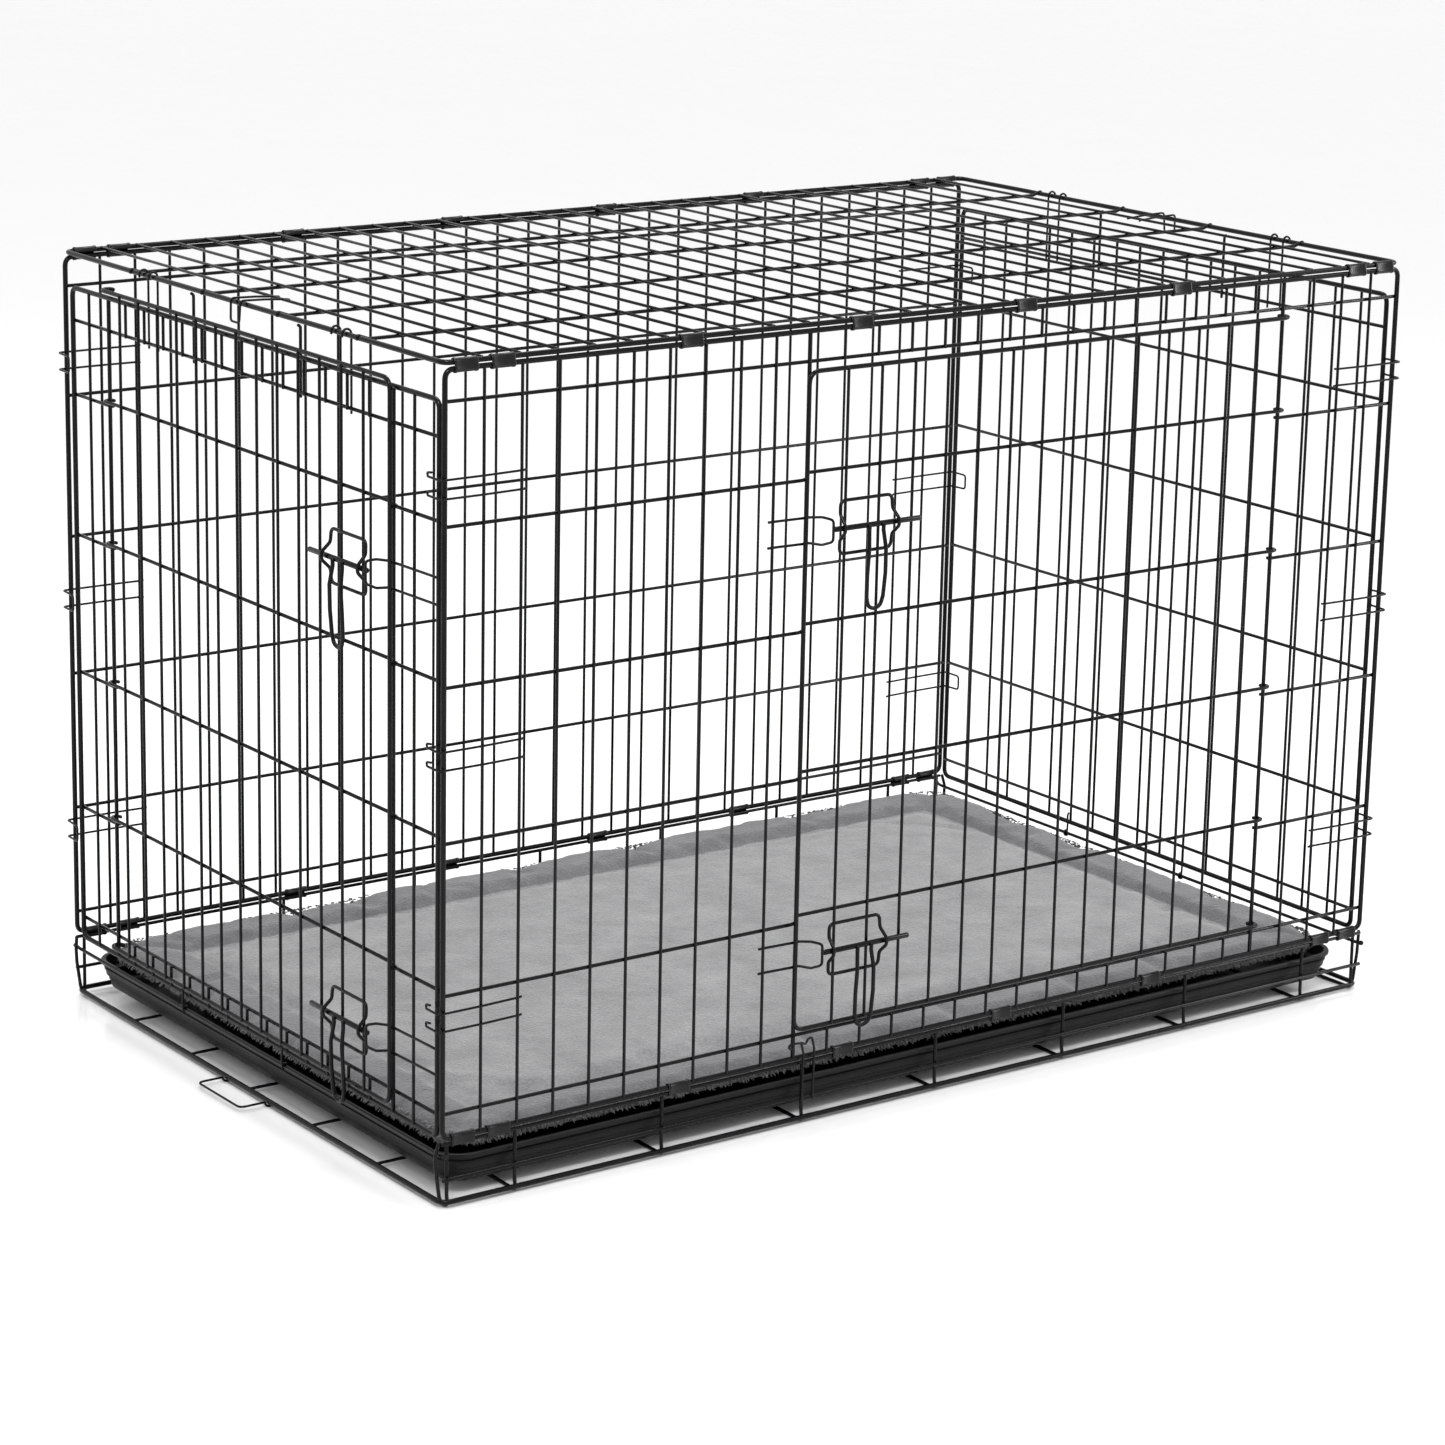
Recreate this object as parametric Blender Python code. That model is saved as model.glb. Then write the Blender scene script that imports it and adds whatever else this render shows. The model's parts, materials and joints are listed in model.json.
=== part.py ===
"""Folding wire dog crate: wire panels, two doors, slide-bolt latches, tray and mat. Metres, +Z up."""
import math

import bmesh
import bpy
from mathutils import Matrix, Vector

# overall size
LENGTH = 1.220            # along X, over the wire panels
WIDTH = 0.760             # along Y
Z_TOP = 0.8265            # centre of the top panel's wires
SHIFT = (0.0132, 0.0074, 0.0)   # centres the whole object, with its tray stop and latches, on X and Y

# wires, as radii of the round wire
R_FRAME = 0.0027
R_DOOR = 0.0024
R_POST = 0.0022
R_RAIL = 0.0019
R_VERT = 0.0016
R_CLIP = 0.0012
R_ROD = 0.0028
R_HANDLE = 0.0022
SQUARE = math.sqrt(math.pi / 2)   # a square bar with the round wire's area
GAP = 0.0003
BEND = 0.0065             # chamfer of a frame's corners

# wire grid
NX, NY = 29, 18           # pitches along the long and the short sides
RAIL_IN, VERT_OUT = 0.0016, 0.0018   # rails sit inside the frame plane, uprights outside it
SIDE_RAILS = (0.790, 0.672, 0.518, 0.366, 0.215, 0.096)
SIDE_TOP, SIDE_BOTTOM = 0.8205, 0.0718
END_RAILS = (0.755, 0.675, 0.522, 0.370, 0.218, 0.092)
END_TOP, END_BOTTOM = 0.790, 0.0700
END_HALF = WIDTH / 2 - 0.0150
DOOR_RAILS = (0.681, 0.528, 0.376, 0.226)
DOOR_OUT = 0.0068         # door plane in front of its panel's plane
HOOK = 0.0050             # radius of a door hook around its post

# openings, as upright numbers counted from the latch side
FRONT_POSTS = (10, 25)
LEFT_POSTS = (16, 2)
FRONT_DOOR_Z = (0.1045, 0.7815)
LEFT_DOOR_Z = (0.0810, 0.7985)
FRONT_LATCH_Z = (0.622, 0.184)
LEFT_LATCH_Z = (0.609, 0.146)

# latches, measured from the latch-side post
ROD_OUT = 0.0132          # rod centre in front of the panel plane
LOOP_OUT = 0.0183         # keeper and cage wires where they pass over the rod
ROD_LENGTH, ROD_START = 0.110, 0.0250
CAGE_U, CAGE_HALF = (0.036, 0.100), 0.0270
KEEPER_HALF, KEEPER_U = 0.0130, 0.0205
HANDLE_U, HANDLE_HALF, HANDLE_DROP = 0.0760, 0.0105, 0.0860

# base
BASE_RAILS = (0.0060, 0.0300, 0.0660)
BASE_LOOPS = 7
CORNER_LOOP_IN = 0.0091   # the outermost loops' distance from the crate's ends
BASE_LONG = 5
LOOP_Z = 0.00166          # centre of the loops' floor run, which rests on Z = 0
END_WIRE_Z = 0.0540

# hinge clips, as places along the long side in pitches
CLIP_AT = (0.53, 1.5, 6.6, 11.5, 16.5, 21.5, 27.5, 28.47)
CLIP_LENGTH, CLIP_WALL = 0.0260, 0.0009

# tray and mat
TRAY_X, TRAY_Y = (-0.597, 0.590), 0.3690
TRAY_Z = (0.0125, 0.0460)
MAT_X, MAT_Y = (-0.585, 0.580), 0.3540
MAT_Z = (0.0465, 0.0665)

SIDE_Y = WIDTH / 2 - 0.0030     # plane of the front and back panels
END_X = LENGTH / 2 - 0.0044     # plane of the end panels
EDGE_X = LENGTH / 2 - 0.0024    # corner wires and the top panel's end wires
EDGE_Y = WIDTH / 2 - 0.0045     # the top panel's long edge wires


def clear_scene():
    for ob in list(bpy.data.objects):
        bpy.data.objects.remove(ob, do_unlink=True)


def collection(name, hidden=False):
    col = bpy.data.collections.new(name)
    bpy.context.scene.collection.children.link(col)
    col.hide_render = hidden
    return col


def material(name, colour, metallic, roughness):
    mat = bpy.data.materials.new(name)
    mat.use_nodes = True
    shader = mat.node_tree.nodes["Principled BSDF"]
    shader.inputs["Base Color"].default_value = (*colour, 1.0)
    shader.inputs["Metallic"].default_value = metallic
    shader.inputs["Roughness"].default_value = roughness
    mat.diffuse_color = (*colour, 1.0)
    return mat


def front(u, z, n):
    """A point of the front panel: u from its left corner wire, n outward from its plane."""
    return Vector((-EDGE_X + u, -SIDE_Y - n, z))


def back(u, z, n):
    return Vector((-EDGE_X + u, SIDE_Y + n, z))


def left(u, z, n):
    """A point of the left end panel: u from its rear corner wire."""
    return Vector((-END_X - n, END_HALF - u, z))


def right(u, z, n):
    return Vector((END_X + n, END_HALF - u, z))


def top(u, v, n):
    """A point of the top panel: u from its left edge, v from its front edge."""
    return Vector((-EDGE_X + u, -EDGE_Y + v, Z_TOP + n))


def pitch_x(i):
    return i * 2 * EDGE_X / NX


def pitch_y(i):
    return i * 2 * END_HALF / NY


def bars(name, runs):
    """Square bars along polylines: each run is (points, wire radius, closed or not)."""
    curve = bpy.data.curves.new(name, "CURVE")
    curve.dimensions = "3D"
    curve.bevel_depth = 1.0
    curve.bevel_resolution = 0
    curve.use_fill_caps = True
    for points, radius, closed in runs:
        spline = curve.splines.new("POLY")
        spline.points.add(len(points) - 1)
        for p, co in zip(spline.points, points):
            p.co = (*co, 1.0)
            p.radius = radius * SQUARE
            p.tilt = math.pi / 4
        spline.use_cyclic_u = closed
    return curve


def tubes(name, runs, resolution):
    """Round bars along polylines."""
    curve = bars(name, runs)
    curve.bevel_resolution = resolution
    for spline in curve.splines:
        for p in spline.points:
            p.radius /= SQUARE
            p.tilt = 0.0
    return curve


def as_mesh(curve, name):
    """The curve as a welded mesh of flat polygons."""
    ob = bpy.data.objects.new(name, curve)
    bpy.context.scene.collection.objects.link(ob)
    bpy.context.view_layer.update()
    graph = bpy.context.evaluated_depsgraph_get()
    mesh = bpy.data.meshes.new_from_object(ob.evaluated_get(graph))
    bpy.data.objects.remove(ob, do_unlink=True)
    work = bmesh.new()
    work.from_mesh(mesh)
    bmesh.ops.remove_doubles(work, verts=work.verts, dist=0.00001)
    bmesh.ops.recalc_face_normals(work, faces=work.faces)
    work.to_mesh(mesh)
    work.free()
    mesh.name = name
    return mesh


def add(name, mesh, mat, col, origin=(0, 0, 0)):
    """Place a mesh in the collection, shifted with the whole crate, with its origin at a point."""
    origin = Vector(origin)
    mesh.transform(Matrix.Translation(-origin))
    mesh.materials.clear()
    mesh.materials.append(mat)
    ob = bpy.data.objects.new(name, mesh)
    ob.location = origin + Vector(SHIFT)
    col.objects.link(ob)
    return ob


def fused(name, first, second, mat, col, cutters, origin=(0, 0, 0)):
    """One welded wire body from two sets of crossing bars."""
    base = add(name, as_mesh(bars(name, first), name), mat, col, origin)
    tool_name = name + "_uprights"
    tool = add(tool_name, as_mesh(bars(tool_name, second), tool_name), mat, cutters, origin)
    tool.hide_render = True
    tool.display_type = "WIRE"
    weld = base.modifiers.new("weld_wires", "BOOLEAN")
    weld.operation = "UNION"
    weld.solver = "EXACT"
    weld.use_self = True
    weld.object = tool
    return base


def loop(plane, u0, u1, z0, z1, radius, n=0.0):
    """A closed rectangular frame wire with bent corners."""
    b = BEND
    corners = [(u0 + b, z0), (u1 - b, z0), (u1 - b * 0.3, z0 + b * 0.3), (u1, z0 + b), (u1, z1 - b),
               (u1 - b * 0.3, z1 - b * 0.3), (u1 - b, z1), (u0 + b, z1), (u0 + b * 0.3, z1 - b * 0.3),
               (u0, z1 - b), (u0, z0 + b), (u0 + b * 0.3, z0 + b * 0.3)]
    return [plane(u, z, n) for u, z in corners], radius, True


def rail(plane, u0, u1, z):
    return [plane(u0, z, -RAIL_IN), plane(u1, z, -RAIL_IN)], R_RAIL, False


def upright(plane, u, z0, z1, radius=R_VERT, n=VERT_OUT):
    return [plane(u, z0, n), plane(u, z1, n)], radius, False


def side_clip(plane, z, flip):
    """A thin U wire: legs on the panel's outer side, its loop lying on the end panel's face."""
    end = 2 * EDGE_X if flip else 0.0
    sign = -1 if flip else 1
    out, past = 0.0041, EDGE_X - END_X + 0.0052
    half = 0.0090
    points = []
    for s in (1, -1):
        leg = [plane(end + sign * (pitch_x(2) + 0.004), z + s * half, out - 0.0008),
               plane(end + sign * pitch_x(1), z + s * half, out),
               plane(end - sign * past, z + s * half, out),
               plane(end - sign * past, z + s * half, -0.020)]
        points += leg if s == 1 else leg[::-1]
    return points, R_CLIP, False


def keeper(plane, post, near, z, flow):
    """The latch keeper: legs welded across two panel uprights, a loop standing out past the post."""
    points = []
    for s in (1, -1):
        v = z + s * KEEPER_HALF
        leg = [plane(near, v, 0.0028), plane(post + flow * 0.003, v, 0.0028),
               plane(post + flow * 0.0110, v, LOOP_OUT - 0.005), plane(post + flow * KEEPER_U, v - s * 0.002,
                                                                      LOOP_OUT)]
        points += leg if s == 1 else leg[::-1]
    return points, 0.0014, False


def door_runs(plane, latch, hinge, span, rails, count, flow):
    """Frame and rails with hooks round the hinge post, then the uprights."""
    z0, z1 = span
    n = DOOR_OUT
    far = latch - flow * 0.0048
    b = BEND * 1.5

    def hook(z, offset, centre, radius):
        return [plane(hinge - flow * 0.007, z, centre), plane(hinge, z, offset),
                plane(hinge + flow * offset * 0.75, z, offset * 0.70),
                plane(hinge + flow * offset, z, 0.0),
                plane(hinge + flow * offset * 0.75, z, -offset * 0.70),
                plane(hinge + flow * 0.0005, z, -offset)]

    ring = HOOK + 0.0006
    frame = hook(z1, ring, n, R_DOOR)[::-1]
    frame += [plane(far + flow * b, z1, n), plane(far + flow * b * 0.3, z1 - b * 0.3, n),
              plane(far, z1 - b, n), plane(far, z0 + b, n),
              plane(far + flow * b * 0.3, z0 + b * 0.3, n), plane(far + flow * b, z0, n)]
    frame += hook(z0, ring, n, R_DOOR)
    first = [(frame, R_DOOR, False)]
    for z in rails:
        run = [plane(far, z, n - RAIL_IN)] + hook(z, HOOK, n - RAIL_IN, R_RAIL)
        first.append((run, R_RAIL, False))
    step = (hinge - latch) / count
    second = [upright(plane, latch + step * i, z0, z1, n=n + VERT_OUT) for i in range(1, count)]
    return first, second


def front_panel(mats, col, cutters):
    end = pitch_x(NX)
    a, b = (pitch_x(i) for i in FRONT_POSTS)
    first = [loop(front, 0, end, SIDE_BOTTOM, SIDE_TOP, R_FRAME)]
    for z in SIDE_RAILS:
        if z in (SIDE_RAILS[0], SIDE_RAILS[-1]):
            first.append(rail(front, 0, end, z))
        else:
            first += [rail(front, 0, a + 0.001, z), rail(front, b - 0.001, end, z)]
    first += [side_clip(front, z, False) for z in (0.709, 0.449, 0.191)]
    first += [side_clip(front, z, True) for z in (0.709, 0.449, 0.191)]
    second = [upright(front, u, SIDE_BOTTOM, SIDE_TOP, R_POST, 0.0) for u in (a, b)]
    for i in range(1, NX):
        if i in FRONT_POSTS:
            continue
        if FRONT_POSTS[0] < i < FRONT_POSTS[1]:
            second += [upright(front, pitch_x(i), SIDE_RAILS[0], SIDE_TOP),
                       upright(front, pitch_x(i), SIDE_BOTTOM, SIDE_RAILS[-1])]
        else:
            second.append(upright(front, pitch_x(i), SIDE_BOTTOM, SIDE_TOP))
    second += [keeper(front, a, pitch_x(9) - 0.004, z, 1) for z in FRONT_LATCH_Z]
    fused("front_panel", first, second, mats["wire"], col, cutters)


def back_panel(mats, col, cutters):
    end = pitch_x(NX)
    first = [loop(back, 0, end, SIDE_BOTTOM, SIDE_TOP, R_FRAME)]
    first += [rail(back, 0, end, z) for z in SIDE_RAILS]
    first += [side_clip(back, z, flip) for z in (0.709, 0.449, 0.191) for flip in (False, True)]
    second = [upright(back, pitch_x(i), SIDE_BOTTOM, SIDE_TOP) for i in range(1, NX)]
    fused("back_panel", first, second, mats["wire"], col, cutters)


def top_clip(flip):
    """The thin U wire at the middle of a top edge, bent down outside the end panel."""
    end = 2 * EDGE_X if flip else 0.0
    sign = -1 if flip else 1
    mid, past = EDGE_Y, EDGE_X - END_X + 0.0052
    points = []
    for s in (1, -1):
        v = mid + s * 0.0095
        leg = [top(end + sign * (pitch_x(1) + 0.006), v, 0.0033), top(end - sign * (past - 0.003), v, 0.0041),
               top(end - sign * past, v, 0.0011), top(end - sign * past, v, -0.018)]
        points += leg if s == 1 else leg[::-1]
    return points, R_CLIP, False


def top_panel(mats, col, cutters):
    end, deep = pitch_x(NX), 2 * EDGE_Y
    first = [loop(top, 0, end, 0, deep, R_FRAME)]
    for i in range(1, 5):
        v = deep * i / 5
        first.append(([top(0, v, -RAIL_IN), top(end, v, -RAIL_IN)], R_RAIL, False))
    first += [top_clip(False), top_clip(True)]
    second = [([top(pitch_x(i), 0, VERT_OUT), top(pitch_x(i), deep, VERT_OUT)], R_VERT, False)
              for i in range(1, NX)]
    fused("top_panel", first, second, mats["wire"], col, cutters)


def ring_pair(plane, y):
    """Two thin legs rising inside the end panel and hooking over the top panel's end wire."""
    offset, ring = EDGE_X - END_X, 0.0049
    points = []
    for s in (1, -1):
        u = END_HALF - y + s * 0.010
        leg = [plane(u, END_RAILS[0] - 0.004, offset - ring), plane(u, Z_TOP, offset - ring)]
        leg += [plane(u, Z_TOP + ring * math.sin(math.radians(t)), offset - ring * math.cos(math.radians(t)))
                for t in (45, 90, 135, 180)]
        points += leg if s == 1 else leg[::-1]
    return points, R_CLIP, False


def end_brace(plane, y):
    inner = EDGE_X - END_X - 0.0049
    u = END_HALF - y
    return [plane(u, END_RAILS[0] - 0.004, inner), plane(u, Z_TOP - 0.008, inner)], R_VERT, False


def end_panel(name, plane, sign, mats, col, cutters):
    """An end panel hung from the top panel's end wire; the left one has a door opening."""
    end = pitch_y(NY)
    has_door = plane is left
    b, a = (pitch_y(i) for i in LEFT_POSTS)
    first = [loop(plane, 0, end, END_BOTTOM, END_TOP, R_FRAME)]
    for z in END_RAILS:
        if has_door and z not in (END_RAILS[0], END_RAILS[-1]):
            first += [rail(plane, 0, a + 0.001, z), rail(plane, b - 0.001, end, z)]
        else:
            first.append(rail(plane, 0, end, z))
    second = [ring_pair(plane, y) for y in (0.192, -0.192)]
    second += [end_brace(plane, y) for y in (0.1065, -0.1065)]
    for i in range(1, NY):
        u = pitch_y(i)
        if has_door and i in LEFT_POSTS:
            second.append(upright(plane, u, END_BOTTOM, END_TOP, R_POST, 0.0))
        elif has_door and LEFT_POSTS[1] < i < LEFT_POSTS[0]:
            second += [upright(plane, u, END_RAILS[0], END_TOP), upright(plane, u, END_BOTTOM, END_RAILS[-1])]
        else:
            second.append(upright(plane, u, END_BOTTOM, END_TOP))
    if has_door:
        second += [keeper(plane, b, end - 0.001, z, -1) for z in LEFT_LATCH_Z]
    hinge = Vector((sign * EDGE_X, 0, Z_TOP))
    fused(name, first, second, mats["wire"], col, cutters, hinge)


def doors(mats, col, cutters):
    a, b = (pitch_x(i) for i in FRONT_POSTS)
    first, second = door_runs(front, a, b, FRONT_DOOR_Z, DOOR_RAILS, 15, 1)
    fused("front_door", first, second, mats["wire"], col, cutters, front(b, 0, 0))
    a, b = (pitch_y(i) for i in LEFT_POSTS)
    first, second = door_runs(left, a, b, LEFT_DOOR_Z, DOOR_RAILS, 14, -1)
    fused("left_door", first, second, mats["wire"], col, cutters, left(b, 0, 0))


def bolt(name, plane, post, z, flow, mats, col, cutters):
    """A sliding rod with its hanging U handle."""
    rod = [([plane(post + flow * ROD_START, z, ROD_OUT),
             plane(post + flow * (ROD_START + ROD_LENGTH), z, ROD_OUT)], R_ROD, False)]
    mid, out = post + flow * HANDLE_U, 0.0170
    points = []
    for s in (1, -1):
        u = mid + s * HANDLE_HALF
        leg = [plane(u, z, ROD_OUT + 0.0006), plane(u, z - 0.022, out), plane(u, z - 0.034, out),
               plane(u, z - HANDLE_DROP + 0.014, out - 0.002),
               plane(mid + s * 0.0065, z - HANDLE_DROP + 0.0035, out - 0.002)]
        points += leg + [plane(mid, z - HANDLE_DROP, out - 0.002)] if s == 1 else leg[::-1]
    origin = plane(post + flow * ROD_START, z, ROD_OUT)
    base = add(name, as_mesh(tubes(name, rod, 2), name), mats["wire"], col, origin)
    tool_name = name + "_handle"
    mesh = as_mesh(tubes(tool_name, [(points, R_HANDLE, False)], 1), tool_name)
    tool = add(tool_name, mesh, mats["wire"], cutters, origin)
    tool.hide_render = True
    tool.display_type = "WIRE"
    weld = base.modifiers.new("weld_handle", "BOOLEAN")
    weld.operation = "UNION"
    weld.solver = "EXACT"
    weld.object = tool


def cage(name, plane, post, z, flow, mats, col):
    """The wire loop on the door that the rod slides through, standing out where it passes the rod."""
    u0, u1 = (post + flow * u for u in CAGE_U)
    low, h = 0.0119, CAGE_HALF
    b = flow * 0.006
    points = [(u0 + b, h, low), (u1 - b, h, low), (u1, h - 0.006, low), (u1, 0.012, low + 0.001),
              (u1, 0.0035, LOOP_OUT), (u1, -0.0035, LOOP_OUT), (u1, -0.012, low + 0.001),
              (u1, 0.006 - h, low), (u1 - b, -h, low), (u0 + b, -h, low), (u0, 0.006 - h, low),
              (u0, -0.012, low + 0.001), (u0, -0.0035, LOOP_OUT), (u0, 0.0035, LOOP_OUT),
              (u0, 0.012, low + 0.001), (u0, h - 0.006, low)]
    runs = [([plane(u, z + v, n) for u, v, n in points], 0.0017, True)]
    add(name, as_mesh(bars(name, runs), name), mats["wire"], col)


def latches(mats, col, cutters):
    for where, z in zip(("upper", "lower"), FRONT_LATCH_Z):
        post = pitch_x(FRONT_POSTS[0])
        bolt(f"front_bolt_{where}", front, post, z, 1, mats, col, cutters)
        cage(f"front_bolt_guide_{where}", front, post, z, 1, mats, col)
    for where, z in zip(("upper", "lower"), LEFT_LATCH_Z):
        post = pitch_y(LEFT_POSTS[0])
        bolt(f"left_bolt_{where}", left, post, z, -1, mats, col, cutters)
        cage(f"left_bolt_guide_{where}", left, post, z, -1, mats, col)


def base_end(sign):
    """The end arch over the tray's way out, and the two hooks below it that stop the end panel."""
    x, h, drop = sign * EDGE_X, WIDTH / 2 - 0.0082, 0.010
    arch = [(x, -h, BASE_RAILS[0]), (x, -h, END_WIRE_Z - drop), (x, 0.003 - h, END_WIRE_Z - 0.003),
            (x, drop - h, END_WIRE_Z), (x, h - drop, END_WIRE_Z), (x, h - 0.003, END_WIRE_Z - 0.003),
            (x, h, END_WIRE_Z - drop), (x, h, BASE_RAILS[0])]
    runs = [([Vector(p) for p in arch], R_RAIL, False)]
    out = x + sign * 0.0030
    for y in (0.131, -0.077):
        hook = [(x - sign * 0.002, y, END_WIRE_Z - 0.0035), (out - sign * 0.0012, y, END_WIRE_Z - 0.0035),
                (out, y, END_WIRE_Z - 0.001), (out, y, 0.0765)]
        runs.append(([Vector(p) for p in hook], R_CLIP, False))
    return runs


def base_frame(mats, col, cutters):
    """Floor grid with lips at the front and back, a stack of rails on each lip, and the end arches."""
    x, y, z0 = EDGE_X, WIDTH / 2 - 0.0025, BASE_RAILS[0]
    b = 0.008
    rim = [(-x + b, -y), (x - b, -y), (x - b * 0.3, b * 0.3 - y), (x, b - y), (x, y - b), (x - b * 0.3, y - b * 0.3),
           (x - b, y), (b - x, y), (b * 0.3 - x, y - b * 0.3), (-x, y - b), (-x, b - y), (b * 0.3 - x, b * 0.3 - y)]
    first = [([Vector((u, v, z0)) for u, v in rim], R_FRAME, True)]
    for side in (-1, 1):
        for z in BASE_RAILS[1:]:
            first.append(([Vector((-x - 0.0015, side * y, z)), Vector((x + 0.0015, side * y, z))], R_RAIL, False))
    for i in range(1, BASE_LONG + 1):
        v = -y + i * 2 * y / (BASE_LONG + 1)
        first.append(([Vector((-x, v, 0.0053)), Vector((x, v, 0.0053))], R_VERT, False))
    step = LENGTH / BASE_LOOPS
    places = [CORNER_LOOP_IN - LENGTH / 2] + [(i + 0.5) * step - LENGTH / 2 for i in range(BASE_LOOPS)]
    places.append(LENGTH / 2 - CORNER_LOOP_IN)
    leg = y - 0.0028
    second = []
    for u in places:
        path = [(-leg, BASE_RAILS[2] + 0.0005), (-leg, 0.0075), (0.0018 - leg, 0.0032), (0.006 - leg, LOOP_Z),
                (leg - 0.006, LOOP_Z), (leg - 0.0018, 0.0032), (leg, 0.0075), (leg, BASE_RAILS[2] + 0.0005)]
        second.append(([Vector((u, v, z)) for v, z in path], R_RAIL, False))
    second += base_end(-1) + base_end(1)
    fused("base_frame", first, second, mats["wire"], col, cutters)


def clip_profile(side, low, high, inner, outer):
    """A folded sheet strip round two stacked wires, open toward the inside of the crate."""
    t = CLIP_WALL
    c = 0.0015
    return [(side * inner, low), (side * (outer), low), (side * outer, high), (side * inner, high),
            (side * inner, high + t), (side * (outer + t - c), high + t), (side * (outer + t), high + t - c),
            (side * (outer + t), low - t + c), (side * (outer + t - c), low - t), (side * inner, low - t)]


def hinge_clips(mats, col):
    """Eight sheet clips on each of the four fold lines, each one an extruded strip."""
    lines = {"top_front": (-1, SIDE_TOP, Z_TOP), "top_back": (1, SIDE_TOP, Z_TOP),
             "base_front": (-1, BASE_RAILS[2], SIDE_BOTTOM), "base_back": (1, BASE_RAILS[2], SIDE_BOTTOM)}
    for name, (side, z0, z1) in lines.items():
        half0 = (R_RAIL if z0 < 0.07 else R_FRAME) * SQUARE / math.sqrt(2) + GAP
        half1 = R_FRAME * SQUARE / math.sqrt(2) + GAP
        outer = max(SIDE_Y + half1, WIDTH / 2 - 0.0025 + (half0 if z0 < 0.07 else -1))
        inner = EDGE_Y - half1 + 0.0004
        profile = clip_profile(side, z0 - half0, z1 + half1, inner, outer)
        for number, at in enumerate(CLIP_AT, 1):
            x = -EDGE_X + pitch_x(at)
            work = bmesh.new()
            rings = [[work.verts.new((x + s * CLIP_LENGTH / 2, y, z)) for y, z in profile] for s in (-1, 1)]
            count = len(profile)
            for i in range(count):
                j = (i + 1) % count
                work.faces.new((rings[0][i], rings[0][j], rings[1][j], rings[1][i]))
            work.faces.new(rings[0])
            work.faces.new(rings[1])
            bmesh.ops.recalc_face_normals(work, faces=work.faces)
            mesh = bpy.data.meshes.new(f"hinge_clip_{name}_{number}")
            work.to_mesh(mesh)
            work.free()
            add(mesh.name, mesh, mats["clip"], col)


def rounded(x0, x1, half, inset, radius, z, steps=3):
    """Corner points of a rounded rectangle, shrunk by an inset."""
    x0, x1, half = x0 + inset, x1 - inset, half - inset
    radius = max(radius - inset, 0.002)
    points = []
    for cx, cy, turn in ((x1, half, 0), (x0, half, 90), (x0, -half, 180), (x1, -half, 270)):
        sx, sy = (1 if cx == x1 else -1), (1 if cy > 0 else -1)
        for i in range(steps + 1):
            t = math.radians(turn + 90 * i / steps)
            points.append((cx - sx * radius + radius * math.cos(t), cy - sy * radius + radius * math.sin(t), z))
    return points


def lofted(name, rings):
    """A closed body through stacked rings, with flat ends."""
    work = bmesh.new()
    loops = [[work.verts.new(p) for p in ring] for ring in rings]
    for one, other in zip(loops, loops[1:]):
        for i in range(len(one)):
            j = (i + 1) % len(one)
            work.faces.new((one[i], one[j], other[j], other[i]))
    work.faces.new(loops[0])
    work.faces.new(loops[-1])
    bmesh.ops.recalc_face_normals(work, faces=work.faces)
    mesh = bpy.data.meshes.new(name)
    work.to_mesh(mesh)
    work.free()
    return mesh


def tray(mats, col):
    """A moulded pan with a stepped wall and a turned-out rim."""
    (x0, x1), half, (z0, z1) = TRAY_X, TRAY_Y, TRAY_Z
    steps = ((0.0180, z0), (0.0110, z0 + 0.0030), (0.0085, z0 + 0.0150), (0.0045, z0 + 0.0165),
             (0.0030, z1 - 0.0030), (0.0, z1 - 0.0025), (0.0, z1), (0.0055, z1),
             (0.0070, z0 + 0.0185), (0.0110, z0 + 0.0170), (0.0135, z0 + 0.0050), (0.0200, z0 + 0.0025))
    rings = [rounded(x0, x1, half, inset, 0.034, z) for inset, z in steps]
    add("tray", lofted("tray", rings), mats["tray"], col, (x0, 0, z0))


def mat_pad(mats, col):
    """The plush mat, a soft slab with a rolled border."""
    (x0, x1), half, (z0, z1) = MAT_X, MAT_Y, MAT_Z
    steps = ((0.010, z0), (0.002, z0 + 0.003), (0.0, z0 + 0.009), (0.005, z1 - 0.004), (0.016, z1))
    rings = [rounded(x0, x1, half, inset, 0.040, z) for inset, z in steps]
    add("mat", lofted("mat", rings), mats["mat"], col, (0, 0, z0))


def tray_stop(mats, col):
    """The wire stop that swings up in front of the tray, hooked round the base's end wire."""
    x, z, ring, reach, half = -EDGE_X, BASE_RAILS[0], 0.0049, 0.034, 0.044
    hook = [(x + ring * math.cos(math.radians(t)), z + ring * math.sin(math.radians(t)))
            for t in (-45, -90, -135, -180)]
    points = [Vector((u, half, w)) for u, w in hook]
    points += [Vector((x - reach + 0.004, half, z)), Vector((x - reach, half - 0.004, z))]
    points += [Vector((x - reach, 0.004 - half, z)), Vector((x - reach + 0.004, -half, z))]
    points += [Vector((u, -half, w)) for u, w in hook[::-1]]
    add("tray_stop", as_mesh(bars("tray_stop", [(points, 0.0011, False)]), "tray_stop"), mats["wire"], col, (x, 0, z))


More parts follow.
